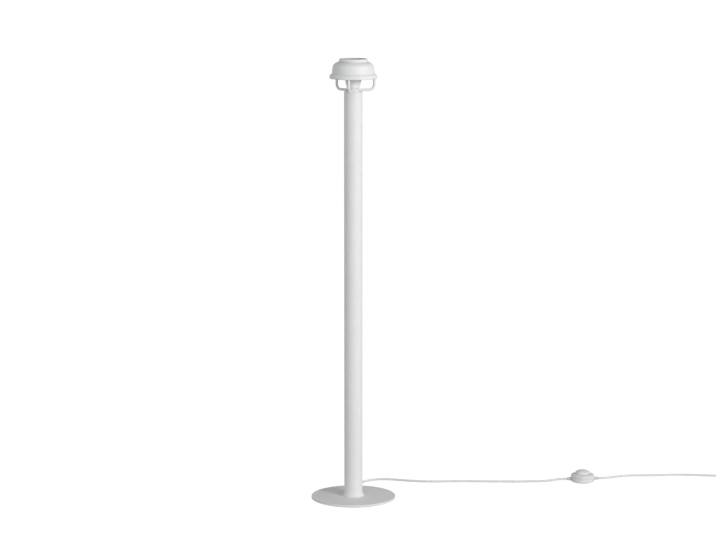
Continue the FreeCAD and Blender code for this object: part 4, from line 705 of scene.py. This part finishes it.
def coiled_spring(around=12):
    """Wire on a helix about the switch's axis: (r cos a, r sin a) with a height that rises evenly with a. Its
    round section spans the direction out from the axis and the one square to that and to the helix."""
    angle = np.linspace(0, 2 * np.pi * SPRING_TURNS, 48 * SPRING_TURNS + 1)
    rise = (SPRING_HEIGHT - 2 * SPRING_WIRE) / angle[-1]
    cos, sin, none = np.cos(angle + SWITCH_TURN), np.sin(angle + SWITCH_TURN), np.zeros(len(angle))
    out = np.stack([cos, sin, none], axis=-1)
    side = np.cross(out, np.stack([-SPRING_RADIUS * sin, SPRING_RADIUS * cos, none + rise], axis=-1))
    side /= np.linalg.norm(side, axis=1)[:, None]
    middle = SPRING_RADIUS * out + np.stack([none, none, SPRING_FOOT + SPRING_WIRE + rise * angle], axis=-1)
    middle += (*SWITCH_CENTRE, 0)
    swing = np.linspace(0, 2 * np.pi, around, endpoint=False)[:, None]
    section = out[:, None] * np.cos(swing) + side[:, None] * np.sin(swing)
    full = np.ones(len(angle) + 2)
    full[[0, -1]] = 0
    reach = np.concatenate([section[:1], section, section[-1:]]) * full[:, None, None]
    return np.concatenate([middle[:1], middle, middle[-1:]])[:, None] + SPRING_WIRE * reach


case_plastic = moulded("switch_plastic", (0.77, 0.77, 0.775), (0.73, 0.73, 0.73), 0.40,
                       0.55 * MM, 0.012 * MM)
button_plastic = moulded("button_plastic", (0.79, 0.79, 0.795), (0.755, 0.755, 0.755), 0.33,
                         0.9 * MM, 0.005 * MM)
works_plastic = moulded("works_plastic", (0.23, 0.21, 0.18), (0.18, 0.165, 0.145), 0.45,
                        0.7 * MM, 0.015 * MM)
spring_steel = plated_steel("spring_steel", (0.60, 0.60, 0.60), (0.46, 0.45, 0.44), 0.22)
give(case_plastic, "switch_upper_shell", "switch_lower_shell")
give(button_plastic, "switch_button")
give(works_plastic, "switch_contact_block", "switch_plunger")
give(zinc, "switch_case_screws")
give(brass, "switch_terminal_screws")
spring = piece("coiled_spring", [coiled_spring()], spring_steel, "spring_steel", "switch_return_spring",
               ring=False)
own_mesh(spring)
give(nodes["base_pad"].material_slots[0].material, "switch_pad")
give(switch_leads(), "switch_cord_tails")
for side, heading in (("inlet", np.pi + SWITCH_TURN), ("outlet", SWITCH_TURN)):
    grid = laid_along(switch_relief(), (*SWITCH_CENTRE, INLET_HEIGHT), heading)
    piece(f"{side}_relief", [grid], relief_plastic, "relief_plastic", f"switch_{side}_relief")


# ---- plug ----
# A flat two-pin plug, moulded on: a waisted body with grip ribs down both flat faces, a slotted strain
# relief, and two brass pins that are sleeved next to the body. It lies beside the coil.

PLUG_X = 1148 * MM
PLUG_REAR = 74 * MM                         # Y of the body's rear face; the plug points to -Y
PLUG_LENGTH = 36 * MM
PLUG_HEIGHT = 6.85 * MM                     # middle of the plug above the floor
PLUG_EDGE = 1.8 * MM
PIN_SPACING = 18.6 * MM


def plug_body():
    """Rounded sections carried along the plug. The half width eases from neck to waist and draws in to the
    nose. Both ends are rounded as a quarter circle. The sections are super-ellipses, |x/a|^n + |z/b|^n = 1.
    """
    power = 4.6
    share = np.linspace(0, 1, 120)
    rear = np.linspace(0, np.pi / 2, 10)[:-1]
    back = np.concatenate([[0], PLUG_EDGE * (1 - np.cos(rear)),
                           PLUG_EDGE + (PLUG_LENGTH - 2 * PLUG_EDGE) * share,
                           PLUG_LENGTH - PLUG_EDGE * (1 - np.cos(rear[::-1])), [PLUG_LENGTH]])
    inset = np.concatenate([[0], PLUG_EDGE * (1 - np.sin(rear)), np.zeros(len(share)),
                            PLUG_EDGE * (1 - np.sin(rear[::-1])), [0]])
    ease = np.clip(back / (13.5 * MM), 0, 1)
    width = 7.0 * MM + 6.0 * MM * ease * ease * (3 - 2 * ease)
    width -= 1.0 * MM * np.clip((back - 19 * MM) / (PLUG_LENGTH - 19 * MM), 0, 1) ** 1.5
    unshaded = np.full(len(back), 6.85 * MM)
    for half in (width, unshaded):
        half -= inset
        half[[0, -1]] = 0
    angle = np.linspace(0, 2 * np.pi, 120, endpoint=False)
    across = np.sign(np.cos(angle)) * np.abs(np.cos(angle)) ** (2 / power)
    up = np.sign(np.sin(angle)) * np.abs(np.sin(angle)) ** (2 / power)
    rib_place = (back - 13 * MM) / (2.2 * MM)
    groove = np.clip(np.cos(2 * np.pi * rib_place) * 1.6, 0, 1) * ((rib_place > -0.3) & (rib_place < 5.3))
    side_grip = np.clip((np.abs(across) - 0.55) / 0.3, 0, 1)
    x = np.outer(width, across) - 0.45 * MM * np.outer(groove, side_grip * np.sign(across))
    z = np.outer(unshaded, up)
    y = np.repeat(-back[:, None], len(angle), axis=1)
    return np.stack([PLUG_X + x, PLUG_REAR + y, PLUG_HEIGHT + z], axis=-1)


def plug_pin(side):
    """Pin turned about its own axis: a root held in the body, a sleeved length a hair thinner than the bare
    brass, and a rounded tip."""
    tip = np.linspace(0, np.pi / 2, 9)
    outline = np.concatenate([
        np.array([(-6, 0), (-6, 1.5), (0, 1.5), (0, 1.88), (9.6, 1.88), (9.8, 1.98), (17.4, 1.98)]),
        np.stack([17.4 + 1.6 * np.sin(tip), 0.6 + 1.38 * np.cos(tip)], axis=-1),
        [(19, 0)]]) * MM
    grid = turned(outline[:, ::-1], 40)
    origin = (PLUG_X + side * PIN_SPACING / 2, PLUG_REAR - PLUG_LENGTH, PLUG_HEIGHT)
    return laid_along(grid, origin, -np.pi / 2)


def sleeved_brass():
    """White sleeve next to the body, then bare brass from a fixed distance past the front face."""
    pin = Finish("sleeved_pin")
    bare = (PLUG_REAR - PLUG_LENGTH - pin.along("Y")).step(9.65 * MM, 9.7 * MM)
    worn = pin.clouds(1.2 * MM, detail=3.0, stretch=(1, 6, 1))
    metal = pin.between(worn, (0.80, 0.66, 0.38), (0.66, 0.52, 0.28))
    return pin.laid({
        "Base Color": pin.between(bare, (0.76, 0.76, 0.76), metal),
        "Metallic": bare,
        "Roughness": 0.42 - bare * 0.2 + worn * 0.12,
        "Normal": pin.relief(worn, 0.006 * MM),
    })


plug_plastic = moulded("plug_plastic", (0.77, 0.77, 0.77), (0.73, 0.73, 0.725), 0.42,
                       0.6 * MM, 0.010 * MM)
plug_shank = np.array([(0.05, 3.2), (0.05, 4.8), (0.4, 5.3), (1.6, 5.4)]) * MM
plug_tail = slotted_tail(plug_shank, 2.0 * MM, 26 * MM, 5.4 * MM, 3.8 * MM, CORD_BORE, slots=8)
plug_relief = piece("plug_relief", [laid_along(plug_tail, (PLUG_X, PLUG_REAR, PLUG_HEIGHT), np.pi / 2)],
                    relief_plastic, "relief_plastic", "plug_strain_relief")
plug = piece("moulded_plug", [plug_body()], plug_plastic, "plug_plastic", "plug_body", ring=False)
pins = piece("sleeved_pins", [plug_pin(-1), plug_pin(1)], sleeved_brass(), "nickel_brass", "plug_pins",
             ring=False)


# ---- cord ties ----
# Two soft hook-and-loop straps hold the coil. Each is wrapped once round the turns of cord and ends in a
# short flap pressed down on its own start.

COIL_CENTRE = (1107 * MM, 203 * MM)
COIL_LIE = 3.95 * MM
COIL_PITCH = 6.3 * MM
COIL_INNER = 24.2 * MM
COIL_TURNS = 6.25
TIE_WIDTH = 9 * MM
TIE_THICKNESS = 0.8 * MM


def tie_strap(turn):
    """A flat band carried along a rounded rectangle that stands across the coil, from the middle of its top
    round and on to a flap past its own start, which lies one thickness higher. Returns the points, and for
    each the distance along the band and across it."""
    low = COIL_LIE - CORD_RADIUS - 0.2 * MM - TIE_THICKNESS / 2
    high = COIL_LIE + COIL_PITCH + CORD_RADIUS + 0.2 * MM + TIE_THICKNESS / 2
    near = COIL_INNER - CORD_RADIUS - 1.46 * MM - TIE_THICKNESS / 2
    far = COIL_INNER + COIL_PITCH * COIL_TURNS / 2 + CORD_RADIUS + 0.2 * MM + TIE_THICKNESS / 2
    corner = 3.2 * MM
    loop = rounded([(near, high, corner), (near, low, corner), (far, low, corner), (far, high, corner)], 12)
    middle = (near + far) / 2
    overlap = 9 * MM
    lift = TIE_THICKNESS + 0.12 * MM
    path = np.concatenate([[(middle + overlap / 2, high)], loop,
                           [(middle + overlap * 0.75, high), (middle + overlap * 0.45, high + lift * 0.9),
                            (middle + overlap * 0.2, high + lift), (middle - overlap, high + lift)]])
    step = np.linalg.norm(np.diff(path, axis=0), axis=1)
    travelled = np.concatenate([[0], np.cumsum(step)])
    fine = np.linspace(0, travelled[-1], 260)
    path = np.stack([np.interp(fine, travelled, path[:, 0]), np.interp(fine, travelled, path[:, 1])], axis=-1)
    way = np.gradient(path, axis=0)
    way /= np.linalg.norm(way, axis=1)[:, None]
    off = np.stack([way[:, 1], -way[:, 0]], axis=-1)
    angle = np.linspace(0, 2 * np.pi, 40, endpoint=False)
    side = TIE_WIDTH / 2 * np.sign(np.cos(angle)) * np.abs(np.cos(angle)) ** 0.25
    proud = TIE_THICKNESS / 2 * np.sign(np.sin(angle)) * np.abs(np.sin(angle)) ** 0.5
    end = np.minimum(fine, fine[-1] - fine)
    round_end = np.sqrt(np.clip(1 - np.clip(1 - end / (2.5 * MM), 0, 1) ** 2, 0, 1))
    round_end[[0, -1]] = 0
    width = 0.55 + 0.45 * round_end
    width[[0, -1]] = 0
    reach = path[:, None, 0] + off[:, None, 0] * proud * (round_end > 0)[:, None]
    height = path[:, None, 1] + off[:, None, 1] * proud * (round_end > 0)[:, None]
    across = width[:, None] * side
    a = np.radians(turn)
    grid = np.stack([COIL_CENTRE[0] + reach * np.cos(a) - across * np.sin(a),
                     COIL_CENTRE[1] + reach * np.sin(a) + across * np.cos(a), height], axis=-1)
    lay = np.stack([np.repeat(fine[:, None], len(angle), 1), across, np.zeros(across.shape)], axis=-1)
    return grid, lay


def woven_strap():
    """Grey woven band: warp and weft of 0.55 mm as crossed sines along and across it, with a soft fuzz."""
    cloth = Finish("tie_strap")
    lay = cloth.node("Attribute", {"attribute_name": "lay"}, {}, output="Vector")
    along = cloth.node("SeparateXYZ", {}, {"Vector": lay}, output="X")
    across = cloth.node("SeparateXYZ", {}, {"Vector": lay}, output="Y")
    turn = 2 * np.pi / (0.55 * MM)
    warp = cloth.node("Math", {"operation": "SINE"}, {0: across * turn})
    weft = cloth.node("Math", {"operation": "SINE"}, {0: along * turn})
    weave = warp * weft * 0.5 + 0.5
    fuzz = cloth.clouds(0.22 * MM, detail=3.0)
    return cloth.laid({
        "Base Color": cloth.between(weave * 0.6 + fuzz * 0.4, (0.62, 0.62, 0.63), (0.78, 0.78, 0.785)),
        "Roughness": 0.86 - weave * 0.08,
        "Sheen Weight": 0.25,
        "Normal": cloth.relief(weave + fuzz * 0.6, 0.12 * MM),
    })


straps = [tie_strap(turn) for turn in (180, 300)]
strap_lay = np.concatenate([lay.reshape(-1, 3) for _, lay in straps])
ties = piece("woven_ties", [grid for grid, _ in straps], woven_strap(), "tie_strap", "cord_ties", ring=False,
             lay=strap_lay)


# ---- cord ----
# A round white mains lead, 5.8 mm thick. It leaves the stem's bush straight back, falls to the floor and runs
# in loose curves to the foot switch, on past it, and ends wound in a tied coil with the plug beside it.

CORD_LIE = 2.95 * MM


def beyond_switch(side, distance):
    """Point on the switch's own line, a distance in millimetres out from the end of one relief."""
    reach = side * (RELIEF_END + distance * MM)
    return (SWITCH_CENTRE[0] + reach * np.cos(SWITCH_TURN), SWITCH_CENTRE[1] + reach * np.sin(SWITCH_TURN),
            INLET_HEIGHT)


def coil_point(turns):
    """Centre of the coiled cord after a number of turns. It winds in along the lower layer, climbs in the
    half turn at the middle, and winds out along the upper layer."""
    middle = COIL_TURNS / 2
    angle = np.pi / 2 - 2 * np.pi * turns
    radius = COIL_INNER + COIL_PITCH * abs(turns - middle)
    climbed = min(1.0, max(0.0, (turns - middle) / 0.5 + 0.5))
    height = COIL_LIE + COIL_PITCH * climbed * climbed * (3 - 2 * climbed)
    return (COIL_CENTRE[0] + radius * np.cos(angle), COIL_CENTRE[1] + radius * np.sin(angle), height)


def route(points):
    return [tuple(value * MM for value in point) for point in points]


def lead(name, points):
    """Round cord on one smooth curve that the points pull into shape."""
    curve = bpy.data.curves.new(name, "CURVE")
    curve.dimensions = "3D"
    curve.bevel_depth = CORD_RADIUS
    curve.bevel_resolution = 6
    curve.resolution_u = 8
    curve.use_fill_caps = True
    line = curve.splines.new("NURBS")
    line.points.add(len(points) - 1)
    line.points.foreach_set("co", np.array([(*point, 1) for point in points]).ravel())
    line.order_u = 3
    line.use_endpoint_u = True
    line.use_smooth = True
    curve.materials.append(sheath)
    made = bpy.data.objects.new(name, curve)
    bpy.context.scene.collection.objects.link(made)
    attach(made, "lamp")
    return made


lie = CORD_LIE / MM
to_switch = route([
    (0, 51.5, 38), (0, 72, 38), (1.5, 96, 29), (5, 119, 16.5), (10, 140, 6.8), (18, 160, lie), (31, 180, lie),
    (49, 198, lie), (75, 208.5, lie), (106, 206.5, lie), (143, 194, lie), (185, 183, lie), (229, 178.5, lie),
    (275, 183, lie), (322, 185, lie), (372, 181.5, lie), (420, 180, lie), (465, 179, lie), (508, 182, lie),
    (543, 183.5, 3.2), (566, 186.6, 5.4)]) + [beyond_switch(-1, 19), beyond_switch(-1, 0)]
to_coil = [beyond_switch(1, 0), beyond_switch(1, 19)] + route([
    (735, 214, 6.8), (753, 233, 4.5), (774, 247.5, 3.1), (803, 254, lie), (842, 254.5, lie), (885, 258, lie),
    (930, 263.5, lie), (975, 261, lie), (1018, 252, 3.1), (1060, 246.8875, 3.95), (1101.2, 246.8875, 3.95)])
COIL_STEPS = 16                             # points a turn
coiled = [coil_point(k / COIL_STEPS) for k in range(int(COIL_TURNS * COIL_STEPS) + 1)]
to_plug = route([(1150.8875, 197.2, 10.25), (1150.8875, 181, 10.25), (1151.2875, 162, 7.2),
                 (1150.3875, 143, 4.6), (1148, 120, 6.85), (1148, 100, 6.85)])

first_lead = lead("cord_lamp_to_switch", to_switch)
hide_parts("cord_to_switch")
second_lead = lead("cord_switch_to_plug", to_coil + coiled + to_plug)
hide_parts("cord_to_coil", "cord_coil", "cord_to_plug")


# ---- studio: floor, backdrop, light and camera ----
# The lamp stands on a plain white floor that runs on into a white backdrop. The light is one large soft lamp
# from the front right and an even glow from all round. The camera looks slightly down from eye height.

def matt_floor():
    """Plain white studio floor, very slightly uneven in tone."""
    floor = Finish("floor_white")
    tone = floor.clouds(0.6, detail=2.0)
    return floor.laid({
        "Base Color": floor.between(tone, (0.70, 0.70, 0.70), (0.68, 0.68, 0.68)),
        "Roughness": 1.0,
        "Specular IOR Level": 0.0,
    })


def glow(name, strength, clear):
    """Even white light, with a share of clear sheet that lets what is behind it through."""
    lit = Finish(name)
    light = lit.node("Emission", {}, {"Color": (1, 1, 1, 1), "Strength": strength})
    sheet = lit.node("MixShader", {}, {0: clear, 1: light, 2: lit.node("BsdfTransparent")})
    lit.node("OutputMaterial", {}, {"Surface": sheet})
    lit.material.cycles.emission_sampling = "NONE"
    return lit.material


def stage_piece(name, grid, material, lights=True):
    """Floor or backdrop. One that gives no light is seen by the camera alone."""
    mesh = bpy.data.meshes.new(name)
    mesh.from_pydata(grid.reshape(-1, 3), [], quads_of(grid, 0, False).tolist())
    mesh.materials.append(material)
    made = bpy.data.objects.new(name, mesh)
    bpy.context.scene.collection.objects.link(made)
    for ray in ("diffuse", "glossy", "transmission", "shadow"):
        setattr(made, "visible_" + ray, lights)


FLOOR_RADIUS = 44.0
SHEEN_HEIGHT = 0.05 * MM
SHEEN_CLEAR = 0.25
flat = np.array([(1e-4, 0.0), (1.0, 0.0), (6.0, 0.0), (FLOOR_RADIUS, 0.0)])
stage_piece("floor", turned(flat, 64), matt_floor())
floor_glow = glow("floor_glow", 1.25, SHEEN_CLEAR)
stage_piece("floor_sheen", turned(flat + (0, SHEEN_HEIGHT), 64), floor_glow, lights=False)
rise = np.linspace(0, np.pi / 2, 24)
dome_wall = np.stack([FLOOR_RADIUS * np.cos(rise) + 1e-4, FLOOR_RADIUS * np.sin(rise)], axis=-1)
stage_piece("backdrop", turned(dome_wall, 64), glow("backdrop_glow", 1.0, 0.0), lights=False)

HORIZON_LIGHT = 1.07
ZENITH_LIGHT = 0.12
SIDE_LIGHT = 0.10                           # how much the surround gains towards +X and loses towards -X
REAR_LIGHT = -0.30                          # the same towards +Y
surround = Finish("surround", bpy.data.worlds)
way = surround.node("TexCoord")
up = surround.node("SeparateXYZ", {}, {"Vector": way}, output="Z")
right = surround.node("SeparateXYZ", {}, {"Vector": way}, output="X")
rear = surround.node("SeparateXYZ", {}, {"Vector": way}, output="Y")
level = HORIZON_LIGHT - up * (HORIZON_LIGHT - ZENITH_LIGHT)
strength = level * (1 + right * SIDE_LIGHT + rear * REAR_LIGHT)
light = surround.node("Background", {}, {"Color": (0.99, 0.995, 1.0, 1), "Strength": strength})
surround.node("OutputWorld", {}, {"Surface": light})
bpy.context.scene.world = surround.material

KEY_AZIMUTH = np.radians(-44)               # from +X, towards the camera
KEY_HEIGHT = np.radians(20.0)               # above the middle of the stem
KEY_DISTANCE = 6.0
KEY_SIZE = 1.9
KEY_POWER = 150.0
STEM_MIDDLE = np.array([0, 0, 0.6])
key = bpy.data.lights.new("key", "AREA")
key.shape = "DISK"
key.size = KEY_SIZE
key.energy = KEY_POWER
key.color = (1.0, 0.995, 0.985)
key_way = np.array([np.cos(KEY_HEIGHT) * np.cos(KEY_AZIMUTH), np.cos(KEY_HEIGHT) * np.sin(KEY_AZIMUTH),
                    np.sin(KEY_HEIGHT)])
key_stand = bpy.data.objects.new("key", key)
key_stand.location = STEM_MIDDLE + KEY_DISTANCE * key_way
key_stand.rotation_euler = (0, np.pi / 2 - KEY_HEIGHT, KEY_AZIMUTH)
key_stand.visible_camera = False
bpy.context.scene.collection.objects.link(key_stand)

CAMERA_DISTANCE = 6.8
CAMERA_ASIDE = 0.01279
CAMERA_HEIGHT = 1.69033
CAMERA_PITCH = 0.1533214                    # radians below level
eye = bpy.data.cameras.new("eye")
eye.sensor_width = 36.0
eye.lens = 126.43
eye.clip_end = 200.0
camera = bpy.data.objects.new("camera", eye)
camera.location = (CAMERA_ASIDE, -CAMERA_DISTANCE, CAMERA_HEIGHT)
camera.rotation_euler = (np.pi / 2 - CAMERA_PITCH, 0, 0)
bpy.context.scene.collection.objects.link(camera)
bpy.context.scene.camera = camera
bpy.context.scene.view_settings.view_transform = "Standard"
